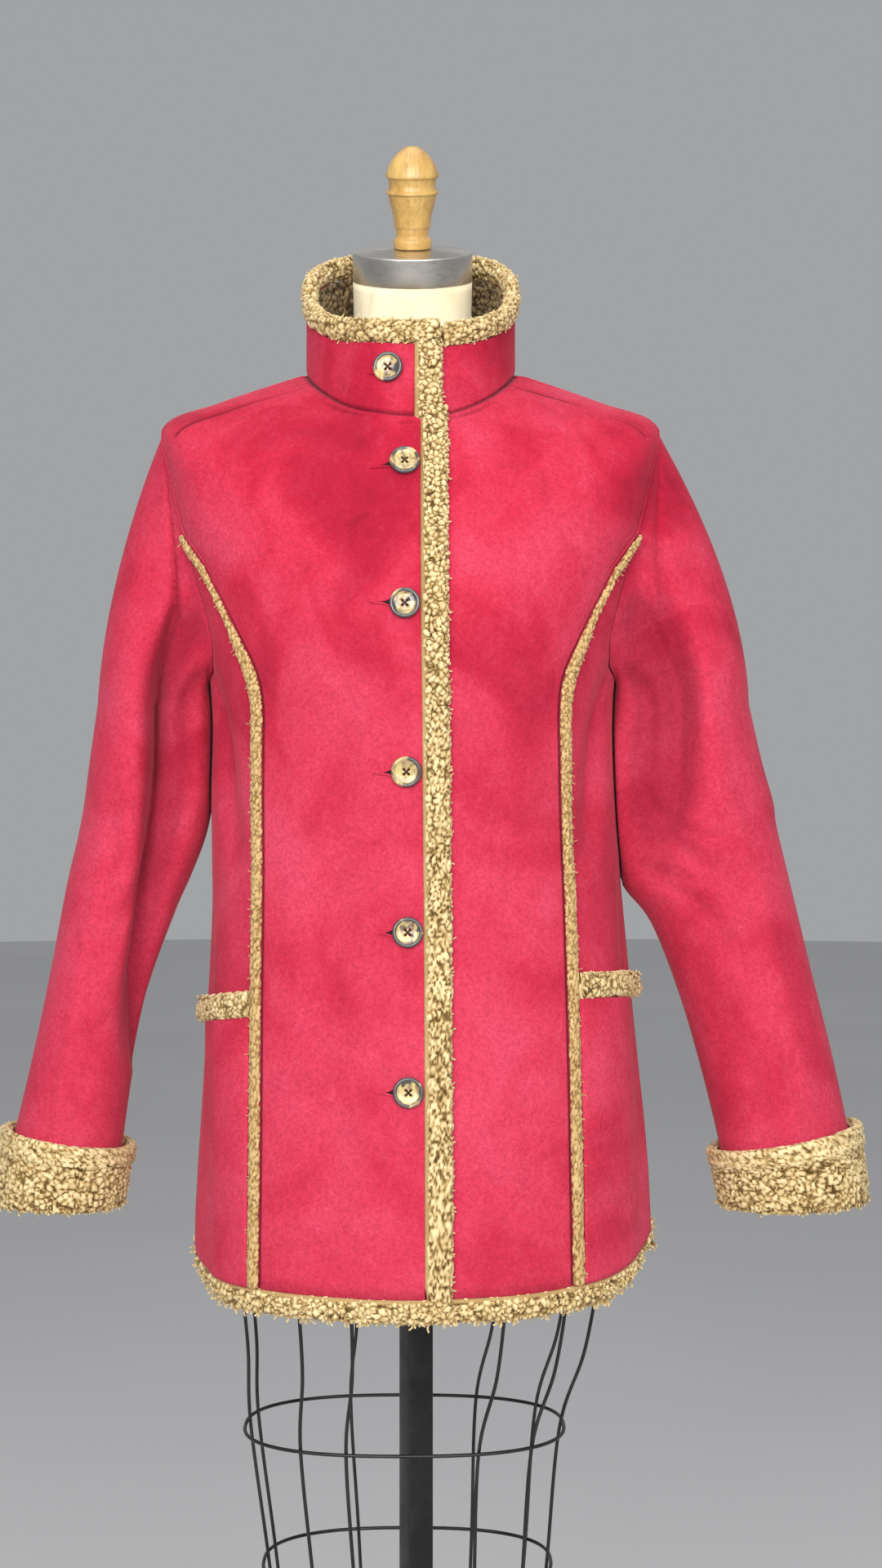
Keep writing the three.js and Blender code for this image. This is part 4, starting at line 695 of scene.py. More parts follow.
def locks(roots, directions, spreads, seed, length=(5.0, 9.0), radius=(1.1, 1.7)):
    """Small curled locks of pile that hang from roots along directions, as closed tapered tubes."""
    rng = np.random.default_rng(seed)
    count = len(roots)
    sides, rings = 5, 5
    long = rng.uniform(*length, count)
    thick = rng.uniform(*radius, count)
    aim = unit(directions + spreads * rng.normal(0, 1, (count, 3)))
    bend = unit(np.cross(aim, rng.normal(0, 1, (count, 3))))
    across = np.cross(aim, bend)
    curl = rng.uniform(0.2, 0.6, count)
    turn = rng.uniform(0, 2 * np.pi, count)
    points, pile = [], []
    for ring in range(rings):
        t = ring / (rings - 1)
        swing = curl * long * t * t
        centre = roots + aim * (long * t)[:, None] + bend * (swing * np.cos(turn + 2.2 * t))[:, None]
        centre = centre + across * (swing * np.sin(turn + 2.2 * t))[:, None]
        width = thick * (1 - 0.45 * t**2) * (0.85 + 0.22 * math.sin(2.6 * math.pi * t))
        for side in range(sides):
            around = 2 * np.pi * side / sides
            points.append(centre + (bend * math.cos(around) + across * math.sin(around)) * width[:, None])
            # Painted shade at each lock's root, growing lighter towards its tip.
            pile.append(np.full(count, 0.25 + 0.75 * t) * rng.uniform(0.75, 1.0, count))
    points.append(roots - aim * (0.5 * thick)[:, None])
    swing = (curl * long)[:, None] * (bend * np.cos(turn + 2.2)[:, None] + across * np.sin(turn + 2.2)[:, None])
    points.append(roots + aim * (long + 0.5 * thick)[:, None] + swing)
    # The root's end is painted in shade, the tip's end in full light.
    pile.append(np.full(count, 0.2))
    pile.append(np.full(count, 1.0))
    size = sides * rings + 2
    points = np.stack(points, axis=1).reshape(-1, 3)
    pile = np.stack(pile, axis=1).reshape(-1)
    body = grid_faces(rings, sides, True)
    low = np.array([[(k + 1) % sides, k, sides * rings, sides * rings] for k in range(sides)])
    top = (rings - 1) * sides
    high = np.array([[top + k, top + (k + 1) % sides, sides * rings + 1, sides * rings + 1] for k in range(sides)])
    one = np.concatenate([body, low, high])
    faces = (one[None, :, :] + (np.arange(count) * size)[:, None, None]).reshape(-1, 4)
    return points, faces, pile


def joined(parts):
    """Points, faces and pile of several meshes as one."""
    points, faces, pile, start = [], [], [], 0
    for p, f, v in parts:
        f = np.asarray(f)
        if volume(p, f) < 0:
            f = f[:, ::-1]
        points.append(p)
        faces.append(f + start)
        pile.append(v)
        start += len(p)
    return np.concatenate(points), np.concatenate(faces), np.concatenate(pile)


def even_loops(sections, count):
    """Each closed section with its corners rounded, as that many evenly spaced points."""
    size = sections.shape[1]
    place = np.arange(0, size, 0.125)
    result = []
    for section in sections:
        loop = np.stack([along(section[:, k], place, True) for k in range(3)], axis=-1)
        loop = np.concatenate([loop, loop[:1]])
        far = far_along(loop)
        result.append(points_at(np.linspace(0, far[-1], count, endpoint=False), far, loop))
    return np.array(result)


def rounded_ends(sections, reach=(4.0, 4.0)):
    centres = sections.mean(axis=1)
    far = far_along(centres)
    scale = np.ones(len(sections))
    for distance, limit in ((far, reach[0]), (far[-1] - far, reach[1])):
        if limit > 0:
            scale *= np.sqrt(1 - (1 - np.clip(distance / limit, 0, 1)) ** 2 * 0.97)
    return centres[:, None, :] + (sections - centres[:, None, :]) * scale[:, None, None]


def tube_faces(rows, columns):
    body = grid_faces(rows, columns, True)
    first, last = rows * columns, rows * columns + 1
    column = np.arange(columns)
    beside = (column + 1) % columns
    start = np.stack([beside, column, np.full(columns, first), np.full(columns, first)], axis=-1)
    base = (rows - 1) * columns
    end = np.stack([base + column, base + beside, np.full(columns, last), np.full(columns, last)], axis=-1)
    return np.concatenate([body, start, end])


def tube(sections):
    rows, columns = sections.shape[:2]
    middle = [sections[0].mean(axis=0), sections[-1].mean(axis=0)]
    return np.concatenate([sections.reshape(-1, 3), middle]), tube_faces(rows, columns)


# ---------------------------------------------------------------- materials
class Shader:
    """Places nodes in a tree, with values or other nodes' outputs on their inputs."""

    def __init__(self, tree):
        self.tree = tree

    def add(self, kind, inputs=None, **settings):
        node = self.tree.nodes.new(kind)
        for key, value in settings.items():
            setattr(node, key, value)
        self.feed(node.inputs, inputs or {})
        return node

    def feed(self, sockets, values):
        """Links outputs to sockets, or sets the sockets' values."""
        for key, value in values.items():
            if isinstance(value, bpy.types.NodeSocket):
                self.tree.links.new(value, sockets[key])
            else:
                sockets[key].default_value = value

    def noise(self, vector, scale, detail=3.0, roughness=0.5, distortion=0.0):
        values = {"Vector": vector, "Scale": scale, "Detail": detail, "Roughness": roughness, "Distortion": distortion}
        return self.add("ShaderNodeTexNoise", values).outputs["Fac"]

    def cells(self, vector, scale, feature="F1", randomness=1.0):
        values = {"Vector": vector, "Scale": scale, "Randomness": randomness}
        return self.add("ShaderNodeTexVoronoi", values, feature=feature).outputs["Distance"]

    def place(self):
        return self.add("ShaderNodeTexCoord").outputs["Object"]

    def spread(self, value, low, high, to_low=0.0, to_high=1.0):
        values = {"Value": value, "From Min": low, "From Max": high, "To Min": to_low, "To Max": to_high}
        return self.add("ShaderNodeMapRange", values).outputs["Result"]

    def mix(self, share, first, second, blend="MIX"):
        values = {0: share, 6: first, 7: second}
        return self.add("ShaderNodeMix", values, data_type="RGBA", blend_type=blend).outputs[2]

    def sum(self, first, second, operation="ADD"):
        return self.add("ShaderNodeMath", {0: first, 1: second}, operation=operation).outputs[0]

    def scaled(self, vector, x, y, z):
        return self.add("ShaderNodeMapping", {"Vector": vector, "Scale": (x, y, z)}).outputs["Vector"]


def colour(red, green, blue):
    """A colour from its 0 to 255 screen values."""
    linear = [((c / 255 + 0.055) / 1.055) ** 2.4 if c > 10 else c / 255 / 12.92 for c in (red, green, blue)]
    return (*linear, 1.0)


def node_group(name, inputs, outputs):
    group = bpy.data.node_groups.new(name, "ShaderNodeTree")
    kinds = {"colour": "NodeSocketColor", "value": "NodeSocketFloat"}
    for label, kind in inputs:
        group.interface.new_socket(name=label, in_out="INPUT", socket_type=kinds[kind])
    for label, kind in outputs:
        group.interface.new_socket(name=label, in_out="OUTPUT", socket_type=kinds[kind])
    start, end = group.nodes.new("NodeGroupInput"), group.nodes.new("NodeGroupOutput")
    return group, Shader(group), start.outputs, end.inputs


def nap_group():
    """Brushed nap: broad light and dark blotches, finer brush marks and a short grain. It has painted light below chest
    height, painted shade and dye wear in the seams, and painted shade in deep folds.
    """
    inputs = [("Light", "colour"), ("Plain", "colour"), ("Dark", "colour"), ("Grain", "value")]
    outputs = [("Color", "colour"), ("Roughness", "value"), ("Height", "value")]
    group, s, given, out = node_group("brushed_nap", inputs, outputs)
    place = s.place()
    broad = s.noise(place, 9, 3, 0.5, 0.6)
    patch = s.noise(s.scaled(place, 1, 1, 0.8), 24, 6, 0.66, 1.0)
    marks = s.noise(s.scaled(place, 1, 1, 0.6), 85, 5, 0.7, 1.2)
    grain = s.noise(place, 820, 3, 0.75)
    fibres = s.noise(place, 420, 2, 0.7)
    light = s.sum(s.spread(broad, 0.42, 0.68), s.spread(patch, 0.5, 0.74, 0, 0.6))
    light = s.sum(light, s.spread(marks, 0.53, 0.72, 0, 0.6))
    # Painted light: below chest height (1.3 to 1.05 m up) the nap is lighter and has fewer dark patches.
    height = s.add("ShaderNodeSeparateXYZ", {"Vector": place}).outputs["Z"]
    light = s.sum(light, s.spread(height, 1.3, 1.05, 0, 0.5))
    dark = s.sum(s.spread(broad, 0.5, 0.3), s.spread(patch, 0.46, 0.26, 0, 0.7))
    dark = s.sum(dark, s.spread(height, 1.3, 1.05, 1, 0.6), "MULTIPLY")
    base = s.mix(s.spread(light, 0, 1.6, 0, 0.8), given["Plain"], given["Light"])
    base = s.mix(s.spread(dark, 0, 1.5, 0, 0.75), base, given["Dark"])
    coarse = s.spread(s.noise(place, 340, 4, 0.75), 0.42, 0.62, 0, 0.55)
    rough = s.sum(s.sum(s.spread(grain, 0.35, 0.7, 0, 0.6), coarse), given["Grain"], "MULTIPLY")
    speck = s.mix(rough, base, given["Dark"])
    # Seams and the sleeves' deep folds darken towards near black: painted shade, with dye wear in the seams.
    groove_shade_and_wear = s.add("ShaderNodeAttribute", attribute_name="groove_shade_and_wear").outputs["Fac"]
    seam = s.mix(s.spread(groove_shade_and_wear, 0.05, 0.6, 0, 0.92), speck, s.mix(0.75, given["Dark"], (0.012, 0.001, 0.004, 1)))
    relief = s.sum(s.sum(grain, 0.5, "MULTIPLY"), fibres)
    s.feed(out, {"Color": seam, "Roughness": s.spread(patch, 0.3, 0.7, 0.82, 0.96), "Height": relief})
    return group


def pile_group():
    """Curled pile: dark in the gaps as painted shade, light on the curls' tips as painted highlight, with some curls
    paler than others.
    """
    inputs = [("Tip", "colour"), ("Middle", "colour"), ("Gap", "colour")]
    outputs = [("Color", "colour"), ("Height", "value")]
    group, s, given, out = node_group("curled_pile", inputs, outputs)
    place = s.place()
    light = s.add("ShaderNodeAttribute", attribute_name="pile").outputs["Fac"]
    fibres = s.noise(place, 900, 3, 0.7, 2.0)
    tone = s.noise(place, 60, 3, 0.55)
    level = s.sum(light, s.spread(fibres, 0.3, 0.7, -0.14, 0.14))
    base = s.mix(s.spread(level, 0.22, 0.6), given["Gap"], given["Middle"])
    base = s.mix(s.spread(level, 0.56, 1.0), base, given["Tip"])
    base = s.mix(s.spread(tone, 0.35, 0.65, 0, 0.3), base, given["Middle"])
    s.feed(out, {"Color": base, "Height": fibres})
    return group


def worn_group():
    """Slight unevenness of paint, varnish or metal: handling marks and fine dust."""
    inputs = [("Clean", "colour"), ("Marked", "colour"), ("Smooth", "value"), ("Dull", "value")]
    outputs = [("Color", "colour"), ("Roughness", "value"), ("Height", "value")]
    group, s, given, out = node_group("handled_finish", inputs, outputs)
    place = s.place()
    cloudy = s.noise(place, 18, 4, 0.6, 0.8)
    speck = s.noise(place, 260, 3, 0.65)
    marks = s.spread(s.sum(cloudy, s.sum(speck, 0.4, "MULTIPLY")), 0.6, 0.95)
    span = s.add("ShaderNodeMix", {0: marks, 2: given["Smooth"], 3: given["Dull"]}, data_type="FLOAT")
    shade = s.mix(marks, given["Clean"], given["Marked"])
    s.feed(out, {"Color": shade, "Roughness": span.outputs[0], "Height": speck})
    return group


NAP, PILE, WORN = nap_group(), pile_group(), worn_group()


def new_material(name, **constants):
    material = bpy.data.materials.new(name)
    material.use_nodes = True
    material.node_tree.nodes.clear()
    s = Shader(material.node_tree)
    surface = s.add("ShaderNodeBsdfPrincipled", {key.replace("_", " "): value for key, value in constants.items()})
    end = s.add("ShaderNodeOutputMaterial")
    s.tree.links.new(surface.outputs["BSDF"], end.inputs["Surface"])
    return material, s, surface.inputs


def use_group(s, group, **values):
    node = s.add("ShaderNodeGroup", node_tree=group)
    s.feed(node.inputs, values)
    return node.outputs


def bump(s, height, distance, strength=1.0):
    values = {"Height": height, "Distance": distance * METRES, "Strength": strength}
    return s.add("ShaderNodeBump", values).outputs["Normal"]


def dress(s, surface, colour_from, roughness=None, normal=None):
    values = {"Base Color": colour_from, "Roughness": roughness, "Normal": normal}
    s.feed(surface, {key: value for key, value in values.items() if value is not None})


def suede_material(name, light, plain, dark, grain=0.5, sheen=0.16):
    material, s, surface = new_material(
        name, Sheen_Weight=sheen, Sheen_Roughness=0.45, Sheen_Tint=colour(255, 170, 185), Specular_IOR_Level=0.12
    )
    nap = use_group(s, NAP, Light=light, Plain=plain, Dark=dark, Grain=grain)
    dress(s, surface, nap["Color"], nap["Roughness"], bump(s, nap["Height"], 0.35, 0.6))
    return material


def sherpa_material(name, tip, middle, gap):
    sheen = dict(Sheen_Weight=0.25, Sheen_Roughness=0.5, Sheen_Tint=colour(255, 232, 196))
    material, s, surface = new_material(name, Roughness=0.95, Specular_IOR_Level=0.1, **sheen)
    pile = use_group(s, PILE, Tip=tip, Middle=middle, Gap=gap)
    dress(s, surface, pile["Color"], normal=bump(s, pile["Height"], 0.5, 0.7))
    return material


def cell_pile_material(name, tip, gap):
    """Short pile on a smooth inner face, all of it from cells in the material, darker between the cells as painted
    shade in the gaps.
    """
    material, s, surface = new_material(name, Roughness=0.97, Specular_IOR_Level=0.08)
    place = s.place()
    warp = s.add("ShaderNodeTexNoise", {"Vector": place, "Scale": 160.0, "Detail": 2.0})
    values = {0: warp.outputs["Color"], 1: (0.0025, 0.0025, 0.0025), 2: place}
    curls = s.cells(s.add("ShaderNodeVectorMath", values, operation="MULTIPLY_ADD").outputs[0], 270)
    # Painted shade: the gap colour between the cells.
    shade = s.mix(s.spread(curls, 0.25, 0.75), tip, gap)
    dress(s, surface, shade, normal=bump(s, s.spread(curls, 0.1, 0.8, 1, 0), 2.0))
    return material


def worn_material(name, clean, marked, smooth_value, dull, depth=0.15, **constants):
    material, s, surface = new_material(name, **constants)
    worn = use_group(s, WORN, Clean=clean, Marked=marked, Smooth=smooth_value, Dull=dull)
    dress(s, surface, worn["Color"], worn["Roughness"], bump(s, worn["Height"], depth, 0.5))
    return material


def horn_material(name, dark_from, dark_to):
    material, s, surface = new_material(name, Specular_IOR_Level=0.6, Coat_Weight=0.5, Coat_Roughness=0.08)
    place = s.place()
    cloud = s.noise(place, 48, 2, 0.4, 0.8)
    streak = s.noise(s.scaled(place, 1, 1, 0.5), 150, 3, 0.5, 1.6)
    tan = s.mix(s.spread(streak, 0.42, 0.6), colour(206, 186, 118), colour(176, 148, 104))
    base = s.mix(s.spread(cloud, dark_from, dark_to), colour(72, 66, 66), tan)
    base = s.mix(s.spread(streak, 0.58, 0.68, 0, 0.8), base, colour(60, 50, 48))
    dress(s, surface, base, s.spread(streak, 0.3, 0.7, 0.16, 0.3))
    return material


def linen_material():
    material, s, surface = new_material("linen_cover", Sheen_Weight=0.15, Specular_IOR_Level=0.25)
    place = s.place()
    values = {"Vector": place, "Scale": 210.0, "Distortion": 1.5, "Detail": 2.0}
    warp, weft = (s.add("ShaderNodeTexWave", values, bands_direction=way).outputs["Fac"] for way in "XZ")
    weave = s.sum(warp, weft)
    slub = s.noise(s.scaled(place, 1, 1, 0.15), 160, 3, 0.6)
    shade = s.noise(place, 20, 3, 0.5)
    base = s.mix(s.spread(shade, 0.35, 0.65), colour(242, 230, 196), colour(232, 216, 176))
    base = s.mix(s.spread(slub, 0.55, 0.75, 0, 0.5), base, colour(206, 190, 158))
    dress(s, surface, base, s.spread(slub, 0.3, 0.7, 0.8, 0.92), bump(s, weave, 0.2, 0.5))
    return material


def steel_material():
    material, s, surface = new_material("brushed_steel", Metallic=1.0, Anisotropic=0.4)
    place = s.place()
    lines = s.noise(s.scaled(place, 0.12, 0.12, 1), 900, 3, 0.6)
    shade = s.noise(place, 30, 3, 0.5)
    base = s.mix(s.spread(shade, 0.3, 0.7), colour(226, 222, 214), colour(196, 193, 188))
    dress(s, surface, base, s.spread(lines, 0.3, 0.7, 0.26, 0.4), bump(s, lines, 0.02, 0.4))
    return material


def wood_material():
    material, s, surface = new_material("varnished_wood", Coat_Weight=0.35, Coat_Roughness=0.2, Specular_IOR_Level=0.5)
    place = s.place()
    grain = s.noise(s.scaled(place, 1, 1, 0.08), 380, 4, 0.6, 0.7)
    rings = s.noise(s.scaled(place, 1, 1, 0.25), 70, 3, 0.5, 0.5)
    base = s.mix(s.spread(rings, 0.35, 0.65), colour(216, 178, 104), colour(194, 150, 80))
    base = s.mix(s.spread(grain, 0.5, 0.72, 0, 0.6), base, colour(152, 110, 54))
    dress(s, surface, base, s.spread(grain, 0.3, 0.7, 0.32, 0.5), bump(s, grain, 0.12, 0.5))
    return material


# The Light colour serves the random light blotches and also the painted light below chest height.
SUEDE = suede_material("raspberry_suede", colour(222, 80, 106), colour(200, 37, 65), colour(134, 13, 38))
SEWING = suede_material("sewing_thread", colour(140, 20, 42), colour(118, 12, 32), colour(86, 6, 22), 0.2, 0.05)
# Pile colours of tip, middle and gap: the light tips are painted highlight and the dark gaps painted shade.
SHERPA = sherpa_material("sherpa", colour(242, 224, 174), colour(186, 154, 98), colour(68, 46, 20))
FINE_SHERPA = sherpa_material("fine_sherpa", colour(218, 188, 134), colour(188, 152, 98), colour(122, 92, 52))
# A darker copy of the sherpa for the inside of the collar: painted shade.
COLLAR_SHADE_SHERPA = sherpa_material("collar_sherpa_in_shade", colour(158, 136, 98), colour(98, 80, 54), colour(30, 22, 14))
UNDERSIDE = cell_pile_material("short_pile", colour(150, 118, 78), colour(84, 60, 34))
BINDING = suede_material("pile_backing", colour(204, 174, 122), colour(178, 146, 96), colour(126, 96, 54), 0.4, 0.1)
HORN = horn_material("horn_dish", 0.4, 0.45)
HORN_RIM = horn_material("horn_rim", 0.55, 0.63)
BROWN_THREAD = worn_material("brown_thread", colour(58, 38, 26), colour(40, 26, 18), 0.7, 0.9)
LINEN = linen_material()
STEEL = steel_material()
WOOD = wood_material()
PAINT = dict(Specular_IOR_Level=0.5)
WIRE_BLACK = worn_material("black_wire", colour(16, 16, 18), colour(34, 34, 36), 0.28, 0.5, **PAINT)
STAND_BLACK = worn_material("black_pole", colour(12, 12, 13), colour(26, 26, 28), 0.3, 0.55, **PAINT)
BASE_BLACK = worn_material("black_iron", colour(18, 18, 19), colour(38, 37, 36), 0.4, 0.65, 0.5, Specular_IOR_Level=0.4)
# Painted shade: a dark tube that stands in each buttonhole's gap.
SHADE = worn_material("slit_shade", colour(34, 8, 12), colour(24, 6, 9), 0.9, 1.0)


def sherpa_piece(name, parts, material=SHERPA, slot="sherpa", replaced=True):
    """A piece of pile cloth, in place of the part's node of that name if it has one."""
    points, faces, pile = joined(parts)
    return plain_piece(name, points, faces, material, slot, *[name] * replaced, pile=pile)


# ---------------------------------------------------------------- suede panels
def seam_shade_and_wear(relief):
    """How far each outer and inner point of a wall lies in a seam, from 0 to 1. This is where the nap is darkened with
    painted shade and dye wear.
    """
    return np.concatenate([np.clip(-relief / SEAM_DIP, 0, 1).ravel(), np.zeros(relief.size)])


def cut(grid):
    """Width, length and area in metres of the flat cloth that a grid of points is cut from."""
    across = np.linalg.norm(np.diff(grid, axis=1), axis=-1)
    down = np.linalg.norm(np.diff(grid, axis=0), axis=-1)
    quads = np.cross(grid[1:, 1:] - grid[:-1, :-1], grid[1:, :-1] - grid[:-1, 1:])
    area = np.linalg.norm(quads, axis=-1).sum() / 2
    width, length = across.sum(axis=1).max(), down.sum(axis=0).max()
    return width * METRES, length * METRES, min(area, 0.999 * width * length) * METRES**2


def state_sheet(piece, grid):
    width, length, area = cut(grid)


def suede_wall(name, outer, inner, around=False, skip=4, groove_shade_and_wear=None):
    """A closed piece of suede cloth between its outer and inner grid, with short pile on the inside."""
    shape = outer.shape[:2]
    points = np.concatenate([outer.reshape(-1, 3), inner.reshape(-1, 3)])
    inside = under_faces(*shape, around, skip)
    made = place_mesh(name, points, wall_faces(*shape, around), [SUEDE, UNDERSIDE], inside=inside, groove_shade_and_wear=groove_shade_and_wear)
    return finish_piece(made, "suede", name)


def panel(name, angles, levels, relief, lifted=False):
    base = smooth_body(angles, levels)
    lift = lift_at(base) * lifted
    outer, inner = (body_point(angles, levels, lift + offset) for offset in (relief, -CLOTH))
    return suede_wall(name, outer, inner, groove_shade_and_wear=seam_shade_and_wear(relief)), base


SHOULDER_SEAM_ANGLE = 65


def shoulder_seam(points, angles, row):
    """The stitched seam that runs along the front of the shoulder."""
    per_degree = np.linalg.norm(np.diff(points, axis=1), axis=-1)
    per_degree = per_degree / np.maximum(np.abs(np.diff(angles, axis=1)), 1e-6)
    per_degree = np.concatenate([per_degree, per_degree[:, -1:]], axis=1)
    above = (angles - SHOULDER_SEAM_ANGLE) * np.clip(per_degree, 0.5, 3)
    dip = -1.2 * hump(above, 0, 1.3) - 0.7 * hump(above, 5.5, 1.1) + 0.7 * hump(above, 2.8, 1.6)
    return dip * (1 - smooth(3.2, 3.5, row))[:, None]


def front_panel(name, side, edge_across, lifted):
    angles, levels, row = front_grid(side, edge_across)
    base = smooth_body(angles, levels)
    _, from_seam = distances(base, 1)
    from_neck, _ = distances(base, 0)
    below_shoulder = smooth(2.6, 3.1, row)[:, None]
    at_shoulder = 1 - below_shoulder
    at_armhole = below_shoulder * (1 - smooth(7.2, 7.9, row)[:, None])
    relief = seam_relief(from_seam) * np.maximum(at_armhole, 0.75 * at_shoulder)
    relief = relief + seam_relief(from_seam, False, 0.6) * (1 - np.maximum(at_armhole, at_shoulder))
    relief = relief + seam_relief(from_neck, True, 0.5)
    relief = relief + shoulder_seam(base, np.abs(angles), row)
    return panel(name, angles, levels, relief, lifted)


def back_panel():
    angles, levels, row = back_grid()
    base = smooth_body(angles, levels)
    left, right = distances(base, 1)
    from_neck, _ = distances(base, 0)
    nearest = np.minimum(left, right)
    at_side = smooth(14.6, 15.4, row)[:, None]
    relief = seam_relief(nearest) * (1 - at_side) + seam_relief(nearest, False) * at_side
    relief = relief + seam_relief(from_neck, True, 0.8)
    return panel("back", angles, levels, relief)


def side_front_panel(name, side):
    angles, levels = side_front_grid(side)
    base = smooth_body(angles, levels)
    left, right = distances(base, 1)
    top, _ = distances(base, 0)
    relief = seam_relief(left, False, 0.6) + seam_relief(right, False, 0.8) + seam_relief(top, False, 0.8)
    return panel(name, angles, levels, relief)


front_right, front_right_cut = front_panel("front_right", -1, BUTTONHOLE_EDGE, True)
front_left, front_left_cut = front_panel("front_left", 1, UNDER_EDGE, False)
back, back_cut = back_panel()
side_front_right, side_front_right_cut = side_front_panel("side_front_right", -1)
side_front_left, side_front_left_cut = side_front_panel("side_front_left", 1)


# ---------------------------------------------------------------- sleeves
SLEEVE_ROWS = len(RIGHT_SLEEVE["height"]) - 1
HEAD_ROWS = len(HEAD_SHARES) - 1


def sleeve_ring(rows, index, turn, side, grow=0.0, trough=0.0):
    """Points of the sleeve at rows counted from the upper arm, with the ring's axis."""
    values = ring_at(rows, index)
    before, after = ring_at(rows, np.maximum(index - 1, 0)), ring_at(rows, np.minimum(index + 1, SLEEVE_ROWS))
    axis = unit(stack(*((after[k] - before[k]) * s for k, s in (("across", side), ("forward", 1), ("height", 1)))))
    axis = unit(lerp(axis, np.array([0, 0, -1.0]), values["level"][..., None]))
    depthwise = np.array([0, -1.0, 0])
    outward = unit(np.cross(depthwise, axis) * side)
    centre = stack(side * values["across"], values["forward"], values["height"])
    wide = (values["half_width"] + grow - trough) * np.cos(np.radians(turn))
    deep = (values["half_depth"] + grow - trough) * np.sin(np.radians(turn))
    return centre + outward * wide[..., None] + depthwise * deep[..., None], axis


def armhole_loop(side, step):
    angle, level = armhole_place(step)
    point = body_point(side * angle, level)
    normal = body_normal(side * angle, level)
    (near_angle, near_level), (far_angle, far_level) = armhole_place(step - 0.2), armhole_place(step + 0.2)
    onward = body_point(side * far_angle, far_level) - body_point(side * near_angle, near_level)
    leave = unit(np.cross(normal, onward) * side)
    return point, normal, leave


def keep_off_body(points, side):
    reach = body_reach(points[..., 1], points[..., 2], side) + BODY_CLEARANCE
    short = np.maximum(reach - side * points[..., 0], 0)
    points[..., 0] += side * short
    return points


def sleeve_trough(folds, creases, place, turn):
    return trough_depth(folds, place, turn) + crease_depth(creases, place, turn)


def sleeve_surface(rows, side, folds, creases, columns=142, head_rows=34, each=7):
    step = np.arange(columns) * ARMHOLE_STEPS / columns
    turn = step * 360 / ARMHOLE_STEPS
    point, normal, leave = armhole_loop(side, step)
    start = point - leave * HEAD_TUCK - normal * HEAD_SUNK
    first, axis = sleeve_ring(rows, np.zeros(columns), turn, side)
    upness = (1 + np.cos(np.radians(turn))) / 2
    leave_by = lerp(HEAD_LEAVE_BOTTOM, HEAD_LEAVE_TOP, upness**0.7)
    arrive_by = lerp(HEAD_ARRIVE_BOTTOM, HEAD_ARRIVE_TOP, upness**1.2)
    clear = HEAD_CLEAR * (1 - upness) ** 2
    second = start + leave * leave_by[:, None] + normal * clear[:, None]
    third = first - axis * arrive_by[:, None]
    share = np.linspace(0, 1, head_rows + 1)[:-1] ** 1.25
    t = share[:, None, None]
    head = (1 - t) ** 3 * start + 3 * (1 - t) ** 2 * t * second + 3 * (1 - t) * t * t * third + t**3 * first
    place = np.interp(share, HEAD_SHARES, np.arange(HEAD_ROWS + 1))
    head_trough = sleeve_trough(folds, creases, place[:, None], turn[None, :]) * smooth(0, 0.06, share)[:, None]
    head = head + unit(head.mean(axis=1, keepdims=True) - head) * head_trough[..., None]
    index = np.linspace(0, SLEEVE_ROWS, SLEEVE_ROWS * each + 1)
    place, turns = np.meshgrid(index + HEAD_ROWS, turn, indexing="ij")
    trough = sleeve_trough(folds, creases, place, turns)
    lower, _ = sleeve_ring(rows, place - HEAD_ROWS, turns, side, 0.0, trough)
    surface = np.concatenate([head, lower])
    clear_of_body = keep_off_body(surface.copy(), side)
    blend_in = smooth(0.12, 0.3, np.concatenate([share, np.ones(len(index))]))[:, None, None]
    return lerp(surface, clear_of_body, blend_in), np.concatenate([head_trough, trough])


FOLD_SHADE = 0.27  # how dark a deep fold is painted, as a share of a seam's dark: painted shade in the folds
FOLD_SHADE_DEPTH = 10.0  # the depth in mm from which a fold's painted shade is that dark


def sleeve(word, rows, side, folds, creases):
    surface, trough = sleeve_surface(rows, side, folds, creases)
    from_seam, _ = distances(surface, 0)
    inward = unit(surface.mean(axis=1, keepdims=True) - surface)
    relief = seam_relief(from_seam, False)
    outer = surface - inward * relief[..., None]
    # Painted shade in the deep folds, joined to the seams' painted shade and dye wear.
    fold_shade = FOLD_SHADE * np.clip(trough / FOLD_SHADE_DEPTH, 0, 1).ravel()
    groove_shade_and_wear = np.maximum(seam_shade_and_wear(relief), np.concatenate([fold_shade, np.zeros(fold_shade.size)]))
    return suede_wall(f"sleeve_{word}", outer, surface + inward * CLOTH, True, 6, groove_shade_and_wear), surface


sleeve_right, sleeve_right_cut = sleeve("right", RIGHT_SLEEVE, -1, RIGHT_SLEEVE_FOLDS, RIGHT_SLEEVE_CREASES)
sleeve_left, sleeve_left_cut = sleeve("left", LEFT_SLEEVE, 1, LEFT_SLEEVE_FOLDS, LEFT_SLEEVE_CREASES)


# ---------------------------------------------------------------- turned-back cuffs
# Shares of the way from a cuff's top to its bottom, and distances out from the sleeve
CUFF_PROFILE = (
    (-0.02, 3.6), (-0.03, 6.0), (0.0, 9.2), (0.06, 10.4), (0.14, 10.0), (0.2, 9.0), (0.4, 9.0), (0.6, 8.6),
    (0.8, 8.0), (0.96, 7.0), (1.05, 5.0), (1.07, 2.0), (1.06, -2.0), (1.0, -5.6), (0.8, -5.8), (0.4, -5.8),
    (0.0, -5.8), (-0.35, -5.6), (-0.38, -4.6), (0.0, -4.4), (0.6, -4.4), (0.97, -4.4), (1.02, -2.0),
    (1.02, -0.4), (0.98, 0.5), (0.6, 1.7), (0.3, 2.6),
)
CUFF_LENGTH, CUFF_SPAN = 52, 2  # from a cuff's top to its bottom, in mm and in the sleeve's rows
